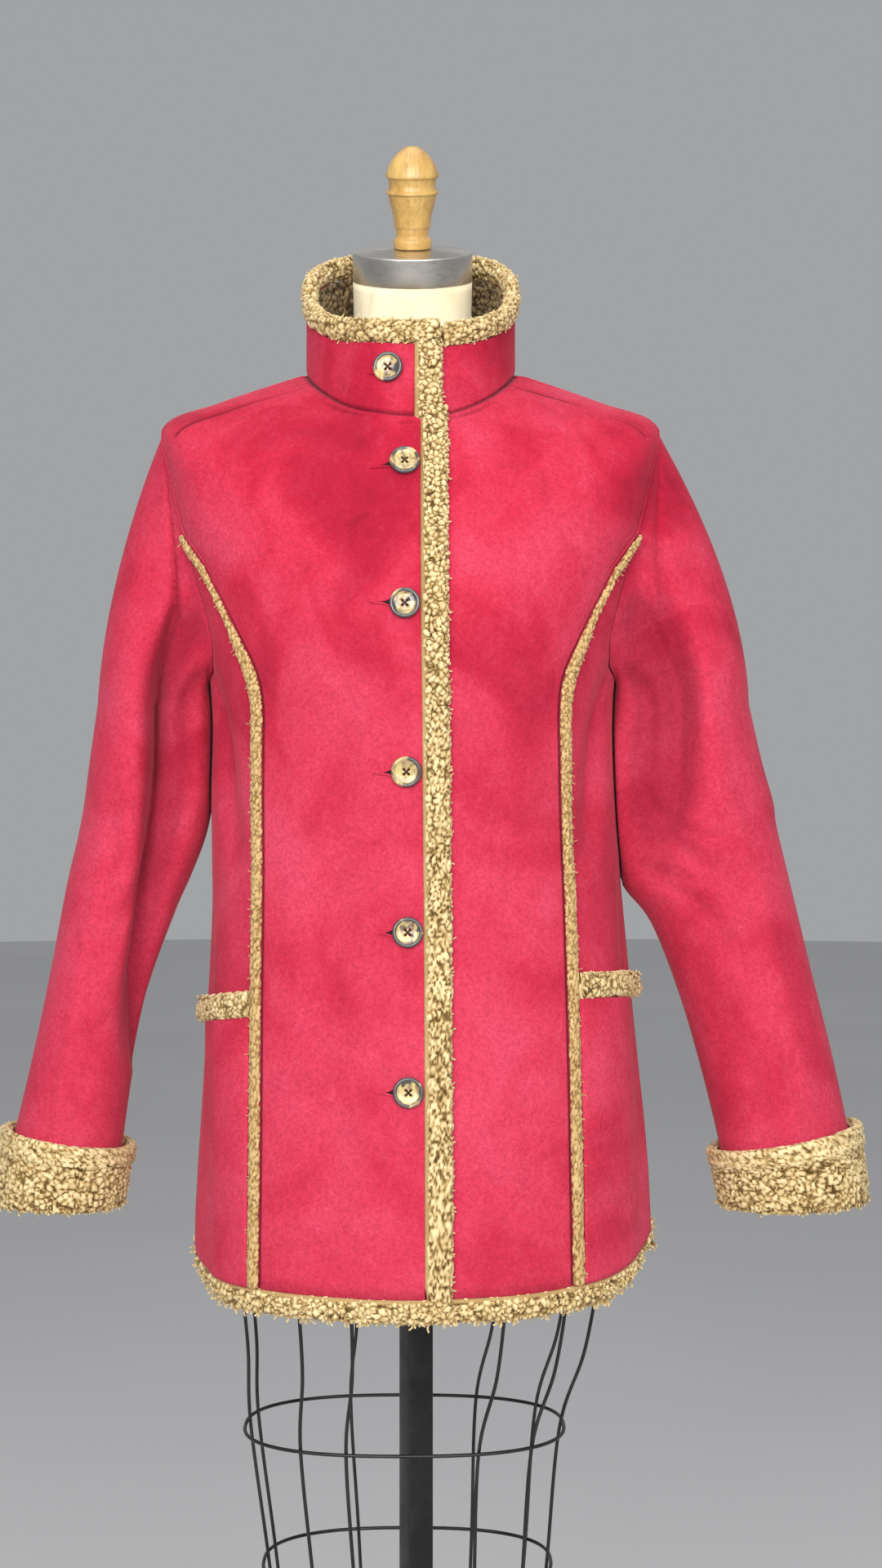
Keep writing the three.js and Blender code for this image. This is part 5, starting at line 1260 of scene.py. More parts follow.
CUFF_RIDGES = (
    (-0.03, 5.0), (-0.04, 10.4), (-0.02, 11.9), (0.02, 12.0), (0.04, 10.9), (0.06, 10.9), (0.08, 12.0), (0.11, 12.0),
    (0.13, 10.9), (0.15, 11.6), (0.17, 11.2), (0.18, 10.2), (0.16, 7.0),
)
CUFF_EDGE_LOCKS = 130
CUFF_PILE, CUFF_PILE_TURNED, CUFF_PILE_INSIDE = 1.0, 0.8, 0.35  # how much pile stands there


def cuff_profile(count=124):
    """Shares and distances out round a cuff's cut, closer together where the pile shows."""
    dense = even_loops(np.array([[(0, grow, share * CUFF_LENGTH) for share, grow in CUFF_PROFILE]], float), 600)[0]
    weight = np.where((dense[:, 1] > 2.4) | (dense[:, 2] > 48), 2.6, 1.0)
    spots = np.linspace(0, weight.sum(), count, endpoint=False)
    chosen = np.searchsorted(np.cumsum(weight), spots, "right")
    return dense[chosen, 2] / CUFF_LENGTH, dense[chosen, 1]


def cuff_surface(rows, side, share, grow, columns=262):
    """Sherpa from inside the sleeve's end, round its lower edge and up over it."""
    turn = degrees_round(columns)
    row = CUFF_ROW + np.where(share < 0, share * 0.8, np.clip(share, 0, 1) * CUFF_SPAN)
    beyond = np.maximum(share - 1, 0) * CUFF_LENGTH
    swell = 0.9 * soft_noise(stack(turn[None, :] * 0.9, side * 40, share[:, None] * 30), 26, 5)
    grown = grow[:, None] + swell * (grow[:, None] > 3)
    points, axis = sleeve_ring(rows, row[:, None], turn, side, grown)
    return (points + axis * beyond[:, None, None]).transpose(1, 0, 2)


def cuff(word, rows, side, seed):
    share, grow = cuff_profile()
    loop = cuff_surface(rows, side, share, grow)
    hidden = (grow < 3.4) & (grow > -5.2) & (share < 1.0)
    shown = [0.0, CUFF_PILE, CUFF_PILE_TURNED]
    weight = np.select([hidden, grow > 2.2, share > 1.0], shown, CUFF_PILE_INSIDE)
    faces = ring_faces(*loop.shape[:2])
    points, light = add_pile(loop.reshape(-1, 3), faces, 0.95, np.tile(weight, len(loop)))
    rng = np.random.default_rng(seed)
    usable = np.where((share > 0.97) & (share < 1.06) & (grow > 2.5))[0]
    column = rng.integers(0, len(loop), CUFF_EDGE_LOCKS)
    roots = loop[column, usable[rng.integers(0, len(usable), CUFF_EDGE_LOCKS)]]
    out = unit(roots - loop.mean(axis=(0, 1)))
    out[:, 2] = 0
    edge = locks(roots, unit(out * 0.5 + np.array([0, 0, -1.0])), 0.28, seed + 3, (2.0, 4.2), (1.1, 1.7))
    made = sherpa_piece(f"cuff_{word}", [(points, faces, light), edge])
    around = even_loops(np.concatenate([loop, loop[:1]]), 80)
    one_side = around[:, :41].transpose(1, 0, 2)  # half way round each loop: the face that shows
    return made, one_side, cuff_ridges(word, rows, side)


def cuff_ridges(word, rows, side, columns=210):
    """The flat seam along the top of a turned-back cuff, with its two ridges."""
    turn = degrees_round(columns)
    share, grow = np.array(CUFF_RIDGES).T
    points, _ = sleeve_ring(rows, (CUFF_ROW + share * CUFF_SPAN)[:, None], turn, side, grow[:, None])
    loop = even_loops(points.transpose(1, 0, 2), 30)
    faces = ring_faces(*loop.shape[:2])
    # The ridges' pile is painted 0.12 lighter than the rest of the cuff.
    piled, light = add_pile(loop.reshape(-1, 3), faces, 0.4)
    return sherpa_piece(f"cuff_ridges_{word}", [(piled, faces, light + 0.12)], replaced=False)


cuff_right, cuff_right_cut, ridges_right = cuff("right", RIGHT_SLEEVE, -1, 101)
cuff_left, cuff_left_cut, ridges_left = cuff("left", LEFT_SLEEVE, 1, 202)


# ---------------------------------------------------------------- collar
def collar_ring(height):
    return {name: lerp(NECKLINE[name], COLLAR_TOP[name], height) for name in NECKLINE}


def collar_frame(angle, height):
    angle, height = np.broadcast_arrays(np.asarray(angle, float), np.asarray(height, float))
    ring = collar_ring(height)
    point = ring_point(ring, angle)
    point[..., 0] += COLLAR_SWAY
    along_ring = ring_point(ring, angle + 1) - ring_point(ring, angle - 1)
    up = unit(ring_point(collar_ring(height + 0.05), angle) - ring_point(collar_ring(height - 0.05), angle))
    out = unit(np.cross(along_ring, up))
    lift = np.where(angle > 180, OVERLAP_LIFT * smooth(360 - COLLAR_LIFT_FROM, 360 - COLLAR_LIFT_TO, angle), 0.0)
    point[..., 2] += COLLAR_CLEARANCE + COLLAR_PER_LIFT * lift
    return point, up, out, lift


def collar_point(angle, height, offset):
    point, _, out, lift = collar_frame(angle, height)
    return point + out * (offset + lift)[..., None]


def collar_angle(across, height):
    return np.degrees(np.arcsin(across / collar_ring(height)["half_width"]))


def collar_stand():
    first, last = collar_angle(UNDER_EDGE, 0.5), 360 + collar_angle(COLLAR_EDGE, 0.5)
    shares = spacing(COLLAR_HEIGHT, 3.0, SEAM_FINER[:-1])
    shares[0] = COLLAR_TUCK
    heights, angles = np.meshgrid(shares, np.linspace(first, last, 150), indexing="ij")
    relief = seam_relief(np.maximum(heights, 0) * COLLAR_HEIGHT, False, 0.35) - 0.8 * (heights < 0)
    outer, inner = collar_point(angles, heights, relief), collar_point(angles, heights, -CLOTH)
    return suede_wall("collar", outer, inner, False, 6, seam_shade_and_wear(relief)), outer


def collar_lining():
    heights, angles = np.meshgrid(
        np.linspace(1 - LINING_DEPTH, 1, 30), np.linspace(LINING_START, 360 - LINING_START, 280), indexing="ij"
    )
    outer = collar_point(angles, heights, -CLOTH - LINING_GAP)
    inner = collar_point(angles, heights, -CLOTH - LINING_GAP - LINING_CLOTH)
    faces = wall_faces(*outer.shape[:2])
    points = np.concatenate([outer.reshape(-1, 3), inner.reshape(-1, 3)])
    weight = np.repeat([0.0, 1.0], angles.size)
    piled, light = add_pile(points, faces, 0.9, weight)
    return sherpa_piece("collar_lining", [(piled, faces, light)], COLLAR_SHADE_SHERPA, "lining"), inner


def roll_sections(edge, out, onward, height, thickness, gap, sides=12):
    turn = circle(sides)
    height = np.broadcast_to(height, edge.shape[:1])
    reach = gap + height[:, None] / 2 - height[:, None] / 2 * np.cos(turn)[None, :]
    side = thickness / 2 * np.sin(turn)
    return edge[:, None, :] + onward[:, None, :] * reach[..., None] + out[:, None, :] * side[None, :, None]


def piled_tube(sections, around, amount=1.0, ends=(5.0, 5.0), streaky=0.0, curl_size=CURL):
    fine = rounded_ends(even_loops(sections, around), ends)
    points, faces = tube(fine)
    piled, light = add_pile(points, faces, amount, streaky=streaky, curl_size=curl_size)
    return piled, faces, light


def edge_locks(edge, onward, out, seed, per_mm, spread, length, radius, depth, droop=0.0):
    """Locks along an edge's path, spread over a depth across it."""
    rng = np.random.default_rng(seed)
    far = far_along(edge)
    count = int(far[-1] * per_mm)
    spot = rng.uniform(0, far[-1], count)
    place, way, beside = (points_at(spot, far, path) for path in (edge, onward, out))
    way, beside = unit(way), unit(beside)
    aside = rng.uniform(-1, 1, count)
    roots = place + beside * (aside * depth)[:, None] + way * rng.uniform(-2.5, 0, count)[:, None]
    aim = unit(way + beside * (0.7 * aside)[:, None] + np.array([0, 0, -droop]))
    return locks(roots, aim, spread, seed + 1, length, radius)


def collar_trim():
    start, end = collar_angle(COLLAR_BAND_EDGE + 2, 1), 360 + collar_angle(COLLAR_BAND_EDGE, 1)
    angles = np.linspace(start, end, 385)
    _, up, out, _ = collar_frame(angles, 1.0)
    edge = collar_point(angles, 1.0, -CLOTH / 2 - 0.6)
    sections = roll_sections(edge, out, up, COLLAR_ROLL_HEIGHT - 1, COLLAR_ROLL_THICKNESS - 1, COLLAR_ROLL_GAP)
    tips = edge + up * (COLLAR_ROLL_HEIGHT - 2)
    parts = [
        piled_tube(sections, 42),
        edge_locks(tips, up, out, 41, 0.55, 0.4, (2.5, 4.6), (1.0, 1.5), 4.0),
        edge_locks(edge + up * 3 + out * 3, out - up * 0.5, up, 43, 0.28, 0.35, (2.5, 4.5), (0.9, 1.4), 2.0),
    ]
    return sherpa_piece("collar_trim", parts)


collar, collar_cut = collar_stand()
lining, lining_cut = collar_lining()
roll_trim = collar_trim()


# ---------------------------------------------------------------- front and collar bands
def longer_spot(spot, above, below):
    """The same path with its two ends carried on straight by whole millimetres."""

    def carried(across, offset):
        path = spot(across, offset)
        first, last = unit(path[0] - path[3]), unit(path[-1] - path[-4])
        before = path[0] + first * np.arange(above, 0, -1.0)[:, None]
        after = path[-1] + last * np.arange(1.0, below + 1)[:, None]
        return np.concatenate([before, path, after])

    return carried


def band_parts(spot, near, far, seed, ends):
    """A sherpa band between two distances from the centre front, with its smooth folded edge."""
    top = LAYER_GAP + 6
    middle = (near + far) / 2
    outline = [
        (near + 2.6, LAYER_GAP + 0.6), (near + 2.2, top - 1.8), (near + 3.6, top + 0.2), (near + 6, top + 1.2),
        (middle, top + 1.4), (far - 3, top + 0.8), (far - 0.4, top - 1.6), (far - 0.6, LAYER_GAP + 1.0),
        (middle, LAYER_GAP + 0.4),
    ]
    sections = np.stack([spot(across, offset) for across, offset in outline], axis=1)
    edge, inner, proud = spot(far - 1.0, top - 3.0), spot(middle, top - 3.0), spot(far - 1.0, top)
    onward, out = unit(edge - inner), unit(proud - edge)
    return [
        piled_tube(sections, 46, 0.95, ends),
        edge_locks(edge, onward, out, seed, 0.34, 0.35, (2.5, 4.8), (0.9, 1.4), 1.8),
    ]


def fold_strip(spot, near):
    """The narrow smooth edge of the pile cloth, where it turns under beside the buttons."""
    top = LAYER_GAP + 4.4
    outline = [
        (near - 0.4, LAYER_GAP + 0.4), (near - 0.6, top - 1.4), (near + 0.9, top + 0.6), (near + 3.2, top + 0.4),
        (near + 3.6, LAYER_GAP + 0.4),
    ]
    sections = even_loops(np.stack([spot(across, offset) for across, offset in outline], axis=1), 16)
    return tube(rounded_ends(sections, (1.5, 1.5)))


def body_spot(levels):
    return lambda across, offset: body_point(angle_across(float(across), levels), levels, offset)


def collar_spot(heights):
    def spot(across, offset):
        point, _, out, _ = collar_frame(collar_angle(float(across), heights), heights)
        return point + out * offset

    return spot


def band(name, spot, strip_spot, near, far, seed, ends):
    """A band of sherpa and, as a piece of its own, its folded edge."""
    made = sherpa_piece(name, band_parts(spot, near, far, seed, ends))
    plain_piece(f"{name}_edge", *fold_strip(strip_spot, near), BINDING, "sherpa")
    return made


BAND_LEVELS, BAND_HEIGHTS = np.linspace(0.0, HEM_LEVEL, 545), np.linspace(-0.06, 1.08, 72)
FRONT_SPOT, COLLAR_SPOT = longer_spot(body_spot(BAND_LEVELS), 5, 6), collar_spot(BAND_HEIGHTS)
front_band = band(
    "front_band", FRONT_SPOT, body_spot(BAND_LEVELS[3::3]), BUTTONHOLE_EDGE + SEAM_GAP, BAND_EDGE, 51, (3.0, 3.0)
)
collar_band = band("collar_band", COLLAR_SPOT, COLLAR_SPOT, COLLAR_EDGE + SEAM_GAP, COLLAR_BAND_EDGE, 57, (1.0, 1.0))


# ---------------------------------------------------------------- princess trims, pockets and hem
TRIM_OUTLINE = ((0.02, 0.1), (0.05, 0.72), (0.28, 1.0), (0.7, 1.0), (0.95, 0.7), (0.98, 0.1))  # shares of both sizes
TRIM_WIDTH_TOP, TRIM_WIDTH, TRIM_HEIGHT = 11.5, 9.5, 4.2


def princess_trim(word, side, seed):
    level = np.concatenate([np.linspace(PRINCESS_TOP, 7, 185), np.linspace(7, HEM_LEVEL, 300)[1:]])
    row = np.interp(level, PRINCESS_LEVELS, LOWER_PLACES)
    down = row / LOWER_ROWS
    angle = princess_angle(level)
    next_angle, next_level = side_front_place(row, level, 0.125)
    start = body_point(side * angle, level)
    normal = body_normal(side * angle, level)
    across = unit(body_point(side * next_angle, next_level) - start)
    taper = np.interp(down, [0, 0.02, 0.06], [0.7, 0.95, 1])
    width = lerp(TRIM_WIDTH_TOP, TRIM_WIDTH, np.minimum(down * 2, 1)) * taper
    lines = []
    for aside, up in TRIM_OUTLINE:
        line = start + across * (SEAM_GAP + aside * width)[:, None]
        lines.append(line + normal * (LAYER_GAP + up * TRIM_HEIGHT * taper)[:, None])
    outer = start + across * (width - 0.5)[:, None] + normal * 2.4
    parts = [
        piled_tube(np.stack(lines, axis=1), 24, 0.5, (5.0, 2.0), 0.8, 3.0),
        edge_locks(outer, across + normal * 0.35, normal, seed, 0.3, 0.35, (2.4, 4.4), (0.5, 0.9), 1.2, 0.6),
    ]
    return sherpa_piece(f"princess_trim_{word}", parts, FINE_SHERPA)


princess_right = princess_trim("right", -1, 61)
princess_left = princess_trim("left", 1, 67)


TRIM_CLEAR = 10.5  # how far a pocket starts from the princess seam, in mm
BAND_TOP, BAND_FOOT, BAND_END = 10, 11, 0.875  # rows of the side front, and share of its width
POCKET_TOP, POCKET_FOOT, POCKET_END = 11, 14, 0.75
POCKET_ROWS, POCKET_COLUMNS = 64, 40
POCKET_PUFF, POCKET_SAG, POCKET_CLOTH = 5, 0.8, 3
POCKET_BAND_OUTLINE = ((-0.05, 0.2), (0, 5.4), (0.3, 8.4), (0.75, 8.4), (0.94, 6.0), (0.94, 0.2))


def pocket_grid(side, first, last, rows, columns, end_share):
    """Angles and levels of the side front between two of its rows, from beside the trim."""
    row = np.linspace(first, last, rows)
    left_level = np.interp(row, LOWER_PLACES, PRINCESS_LEVELS)
    left_angle = princess_angle(left_level)
    per_degree = np.linalg.norm(
        smooth_body(side * (left_angle + 1), left_level) - smooth_body(side * left_angle, left_level), axis=-1
    )
    skip = (TRIM_CLEAR / per_degree / (SIDE_SEAM_ANGLE - left_angle))[:, None]
    share = skip + (end_share - skip) * np.linspace(0, 1, columns)[None, :]
    angle, level = side_front_place(row[:, None], left_level[:, None], share)
    return side * angle, vented(row[:, None], angle, level)


def pocket(word, side):
    angles, levels = pocket_grid(side, POCKET_TOP, POCKET_FOOT, POCKET_ROWS, POCKET_COLUMNS, POCKET_END)
    down = np.linspace(0, 1, POCKET_ROWS)[:, None]
    across = np.linspace(0, 1, POCKET_COLUMNS)[None, :]
    puff = POCKET_PUFF * (1 - down) * np.sin(np.pi * across) ** 0.7
    sag = POCKET_SAG * np.sin(2.6 * np.pi * across + 1.4 * down) * np.sin(np.pi * down)
    offset = LAYER_GAP + puff + sag * 0.8
    _, far = distances(smooth_body(angles, levels), 1)
    relief = 1.3 * hump(far, 0, 1.5) + 0.7 * hump(far, 5, 1.2)  # the turned edge and its topstitching
    outer = body_point(angles, levels, offset + POCKET_CLOTH - relief)
    return suede_wall(f"pocket_{word}", outer, body_point(angles, levels, offset)), outer


def pocket_band(word, side, seed):
    angles, levels = pocket_grid(side, BAND_TOP, BAND_FOOT, 2, 110, BAND_END)
    lines = [
        body_point(lerp(*angles, share), lerp(*levels, share), LAYER_GAP + up) for share, up in POCKET_BAND_OUTLINE
    ]
    sections = np.stack(lines, axis=1)
    onward = unit(sections[-1].mean(axis=0) - sections[-4].mean(axis=0))
    sections = np.concatenate([sections, *(sections[-1:] + onward * k for k in (1.0, 2.0, 3.0))])
    upper, out = sections[:, 1], unit(sections[:, 3] - sections[:, 5])
    upward = np.broadcast_to([0, 0, 1.0], upper.shape)
    parts = [
        piled_tube(sections, 52, 0.8, (1.0, 6.0)),
        edge_locks(upper, upward, out, seed, 0.4, 0.4, (2.0, 3.6), (0.8, 1.3), 2.5),
    ]
    return sherpa_piece(f"pocket_band_{word}", parts)


pocket_right, pocket_right_cut = pocket("right", -1)
pocket_left, pocket_left_cut = pocket("left", 1)
pocket_band_right, pocket_band_left = pocket_band("right", -1, 71), pocket_band("left", 1, 73)


HEM_HEIGHT, HEM_HEIGHT_AT_SIDE, HEM_SIDE_END = 21.0, 11.0, 82


def hem_trim(word, angles, levels, lifted, heights, seed, dense=1.0):
    """A hem's sherpa roll, and as a piece of its own the fold of pile cloth that it is sewn to."""
    name = f"hem_trim_{word}"
    edge = body_point(angles, levels, lift_at(smooth_body(angles, levels)) * lifted - CLOTH / 2)
    out = body_normal(angles, levels - 0.05)
    ahead = np.gradient(edge, axis=0)
    onward = unit(np.cross(ahead, out))
    onward = np.where(onward[:, 2:] > 0, -onward, onward)
    tips = edge + onward * (heights - 5)[:, None]
    roots, aim = edge + onward * 7 + out * 4, unit(onward + out * 0.6)
    parts = [
        piled_tube(roll_sections(edge, out, onward, heights - 3, 10.0, SEAM_GAP), 42, 0.95, (4.0, 4.0)),
        edge_locks(tips, onward, out, seed, dense * 0.5, 0.3, (4.0, 7.5), (1.4, 2.1), 3.5, 0.3),
        edge_locks(roots, aim, ahead, seed + 9, dense * 0.34, 0.3, (4.0, 7.0), (1.3, 1.9), 1.0, 0.4),
    ]
    fold = roll_sections(edge, out, onward, 4.4, 8.6, -0.2, 10)
    plain_piece(f"{name}_fold", *tube(rounded_ends(fold[::3], (1.5, 1.5))), BINDING, "sherpa")
    return sherpa_piece(name, parts)


def evened(angles, levels, step=1.15):
    far = far_along(smooth_body(angles, levels))
    spots = np.arange(0, far[-1], step)
    return np.interp(spots, far, angles), np.interp(spots, far, levels)


def hem_angle(across):
    return angle_across(across, np.array(float(HEM_LEVEL))).item()


def hem_heights(angles):
    return lerp(HEM_HEIGHT, HEM_HEIGHT_AT_SIDE, smooth(VENT_FROM, HEM_SIDE_END, np.abs(angles)))


def hem_trims():
    side_angles = np.linspace(hem_angle(PRINCESS["across"][-1]), HEM_SIDE_END, 120)
    side_levels = HEM_LEVEL - vent_rise(side_angles)
    bottom = np.full(500, float(HEM_LEVEL))
    front_angles = np.linspace(-side_angles[0], hem_angle(BAND_EDGE + 1.0), 160)
    angles = np.concatenate([-side_angles[::-1], front_angles[1:]])
    angles, levels = evened(angles, np.concatenate([side_levels[::-1], bottom[:159]]))
    right = hem_trim("right", angles, levels, True, hem_heights(angles), 81)
    front_angles = np.linspace(hem_angle(BAND_EDGE - 10.0), side_angles[0], 120)
    angles = np.concatenate([front_angles, side_angles[1:]])
    angles, levels = evened(angles, np.concatenate([bottom[:120], side_levels[1:]]))
    left = hem_trim("left", angles, levels, False, hem_heights(angles), 83)
    angles, levels = evened(np.linspace(SIDE_SEAM_ANGLE + 1, 360 - SIDE_SEAM_ANGLE - 1, 500), bottom)
    return right, left, hem_trim("back", angles, levels, False, np.full(len(angles), HEM_HEIGHT), 87, 0.65)


hem_right, hem_left, hem_back = hem_trims()


# ---------------------------------------------------------------- buttons and buttonholes
HOLE_RADIUS, HOLE_SPACING = 1.15, 3.7
SHANK_RADIUS, THREAD_RADIUS, THREAD_APART = 2.0, 0.34, 0.32
# Place across and height, whether on the collar, and the buttonhole's length and tilt
BUTTONS = (
    (-15.8, 1415, True, 8, 0.25), (-3.3, 1339, False, 19, 0.2), (-3.3, 1225, False, 19, -0.06),
    (-3.3, 1095, False, 17, 0.04), (-3.3, 969, False, 17, 0.02), (-3.3, 845, False, 17, 0.0),
)
BUTTON_OUTLINE = (
    (0, 0), (9.8, 0), (11.3, 0.3), (12.1, 1.2), (12.2, 2.2), (11.9, 3.3), (11.3, 4.0), (10.5, 4.2), (9.7, 4.0),
    (9.0, 3.4), (8.0, 2.9), (5.5, 2.6), (3.0, 2.5), (0, 2.5),
)
RIM_FROM = 9.2


def lathe(outline, turns):
    """Closed points and faces of an outline of radius and height turned round z."""
    radius, height = np.array(outline, float).T
    angle = circle(turns)
    inner = radius[1:-1]
    ring = stack(inner[:, None] * np.cos(angle), inner[:, None] * np.sin(angle), height[1:-1, None] + 0 * angle)
    points = np.concatenate([ring.reshape(-1, 3), [[0, 0, height[0]], [0, 0, height[-1]]]])
    return points, tube_faces(len(inner), turns)


def turned(points, axis, place):
    """Points built round z, turned so that z lies along an axis, and moved."""
    axis = unit(np.asarray(axis, float))
    side = unit(np.cross([0, 0, 1.0], axis)) if abs(axis[2]) < 0.99 else np.array([1.0, 0, 0])
    up = np.cross(axis, side)
    return points[:, :1] * side + points[:, 1:2] * up + points[:, 2:] * axis + place


def level_at_height(height):
    low, high = 0.0, float(HEM_LEVEL)
    for _ in range(40):
        middle = (low + high) / 2
        low, high = (middle, high) if along(BODY["front"], middle) > height else (low, middle)
    return low


def button_seat(across, height, on_collar):
    if on_collar:
        share = (height - NECKLINE["front"]) / (COLLAR_TOP["front"] - NECKLINE["front"])
        point, _, out, lift = collar_frame(360 + collar_angle(across, share), np.array(share))
        return point + out * lift, out
    level = np.array(level_at_height(height))
    angle = angle_across(float(across), level)
    base = smooth_body(angle, level)
    out = body_normal(angle, level)
    return body_point(angle, level, lift_at(base)), out


def together(parts):
    """Points and faces of several meshes as one."""
    points, faces, _ = joined([(points, faces, np.zeros(len(points))) for points, faces in parts])
    return points, faces


def drilled(button, centre, axis):
    """Cuts the four sewing holes."""
    offsets = np.array([(x, z, 0.0) for x in (-0.5, 0.5) for z in (-0.5, 0.5)]) * HOLE_SPACING
    points, faces = lathe([(0, -2), (HOLE_RADIUS, -2), (HOLE_RADIUS, 6), (0, 6)], 14)
    parts = [(turned(points + offset, axis, centre), faces) for offset in offsets]
    drill = place_mesh("drill", *together(parts), [HORN])
    cut = button.modifiers.new("holes", "BOOLEAN")
    cut.object = drill
    cut.operation = "DIFFERENCE"
    cut.solver = "EXACT"
    bpy.context.view_layer.update()
    evaluated = button.evaluated_get(bpy.context.evaluated_depsgraph_get())
    mesh = bpy.data.meshes.new_from_object(evaluated)
    button.modifiers.clear()
    button.data = mesh
    bpy.data.objects.remove(drill)


CORD_HELPER = np.array([0.31, 0.42, 0.85])  # a direction that no thread or wire runs along


def arch(start, end, rise, out, radius, sides=8, rings=10):
    """A thread that rises from one hole and goes down another."""
    t = np.linspace(0, 1, rings)
    path = start + (end - start) * t[:, None] + out * (rise * np.sin(np.pi * t) - 0.6)[:, None]
    return cord_sections(path, radius, sides)


def rings_about(path, first, second, radius, sides):
    """A ring of points about each point of a path, in the plane of two directions."""
    turn = circle(sides)[None, :, None]
    return path[:, None, :] + radius * (first[:, None, :] * np.cos(turn) + second[:, None, :] * np.sin(turn))


def cord_sections(path, radius, sides=8):
    path = np.asarray(path, float)
    ahead = unit(np.gradient(path, axis=0))
    first = unit(np.cross(ahead, CORD_HELPER))
    return rings_about(path, first, np.cross(ahead, first), np.broadcast_to(radius, len(path))[:, None, None], sides)


def button_thread(centre, out):
    """Two crossed pairs of threads over the button and the shank under it."""
    side = unit(np.cross([0, 0, 1.0], out))
    up = np.cross(out, side)
    low_left, high_right, high_left, low_right = (
        centre + out * 2.6 + (side * x + up * z) * HOLE_SPACING / 2 for x, z in ((-1, -1), (1, 1), (-1, 1), (1, -1))
    )
    parts = []
    for start, end, rise in ((low_left, high_right, 1.5), (high_left, low_right, 1.9)):
        for shift in (-THREAD_APART, THREAD_APART):
            beside = unit(np.cross(end - start, out)) * shift
            parts.append(tube(arch(start + beside, end + beside, rise, out, THREAD_RADIUS)))
    shank = [centre + out * up_by for up_by in (-0.6, 0.2, 1.2, 2.3)]
    return together([*parts, tube(cord_sections(shank, SHANK_RADIUS, 12))])


def button(number, seat, out):
    points, faces = lathe(BUTTON_OUTLINE, 56)
    centre = seat + out * LAYER_GAP
    name = f"button_{number}"
    radius = np.linalg.norm(points[faces].mean(axis=1)[:, :2], axis=1)
    rim = np.nonzero(radius > RIM_FROM)[0]
    made = place_mesh(name, turned(points, out, centre), faces, [HORN, HORN_RIM], inside=rim)
    drilled(made, centre, out)
    finish_piece(made, "button", name)
    plain_piece(f"button_thread_{number}", *button_thread(centre, out), BROWN_THREAD, "button")


def buttonhole(number, seat, out, length, tilt):
    """A slit beside the button, with two worked lips and, between them, a dark tube of painted shade for the gap."""
    side = unit(np.cross([0, 0, 1.0], out))
    way = side * math.cos(tilt) + np.cross(out, side) * math.sin(tilt)
    cross = np.cross(out, way)
    start = seat - way * 9.0
    lips = []
    for sign in (-1, 1):
        t = np.linspace(0, 1, 18)
        open_by = (1.0 + 2.0 * hump(t, 0.05, 0.3)) * (1 - t**3)
        path = start - way * (t * length)[:, None] + cross * (sign * open_by)[:, None]
        path = path + out * (0.5 * np.sin(np.pi * t**0.7))[:, None]
        lips.append(tube(cord_sections(path, np.sin(np.pi * np.clip(t * 0.94 + 0.03, 0, 1)) ** 0.4)))
    plain_piece(f"buttonhole_{number}", *together(lips), SUEDE, "suede")
    t = np.linspace(0, 1, 12)
    sections = cord_sections(start - way * (t * length * 0.9)[:, None] + out * 0.12, 1.0)
    centre = sections.mean(axis=1, keepdims=True)
    offset = sections - centre
    offset = offset - out * (offset @ out)[..., None] * 0.75
    width = (2.7 * hump(t, 0.05, 0.34) + 0.45) * (1 - t**4)
    plain_piece(f"buttonhole_gap_{number}", *tube(centre + offset * width[:, None, None]), SHADE, "suede")


for number, (across, height, on_collar, length, tilt) in enumerate(BUTTONS, 1):
    seat, out = button_seat(across, height, on_collar)
    button(number, seat, out)
    buttonhole(number, seat, out, length, tilt)


# ---------------------------------------------------------------- topstitching
STITCH_EVERY, STITCH_LENGTH, STITCH_RADIUS = 3.1, 2.3, 0.33
STITCH_RISE = np.array([-0.45, 0.05, 0.15, 0.05, -0.45])  # over the line, from one end of a stitch to the other
STITCH_SHAPE = np.array([0.6, 1, 1, 1, 0.6])
STITCH_SUNK = 0.35


def stitches(path, normals, seed):
    """Separate stitches, pressed a little into the cloth, along a path."""
    far = far_along(path)
    starts = np.arange(0, far[-1] - STITCH_LENGTH, STITCH_EVERY)
    rng = np.random.default_rng(seed)
    starts = starts + rng.uniform(-0.15, 0.15, len(starts))
    parts = []
    for start in starts:
        spots = start + np.linspace(0, STITCH_LENGTH, len(STITCH_RISE))
        centre, normal = points_at(spots, far, path), unit(points_at(spots, far, normals))
        parts.append(tube(cord_sections(centre + normal * STITCH_RISE[:, None], STITCH_RADIUS * STITCH_SHAPE, 5)))
    return parts


def inset(angles, levels, distance):
    """Places moved over the body by a distance in millimetres, square to their path."""
    points = smooth_body(angles, levels)
    away = unit(np.cross(np.gradient(points, axis=0), body_normal(angles, levels))) * distance
    by_angle = smooth_body(angles + 0.5, levels) - smooth_body(angles - 0.5, levels)
    by_level = (smooth_body(angles, levels + 0.02) - smooth_body(angles, levels - 0.02)) / 0.04
    solved = (np.linalg.lstsq(np.stack([a, l], axis=1), w, rcond=None)[0] for a, l, w in zip(by_angle, by_level, away))
    shift = np.array(list(solved))
    return angles + shift[:, 0], levels + shift[:, 1]


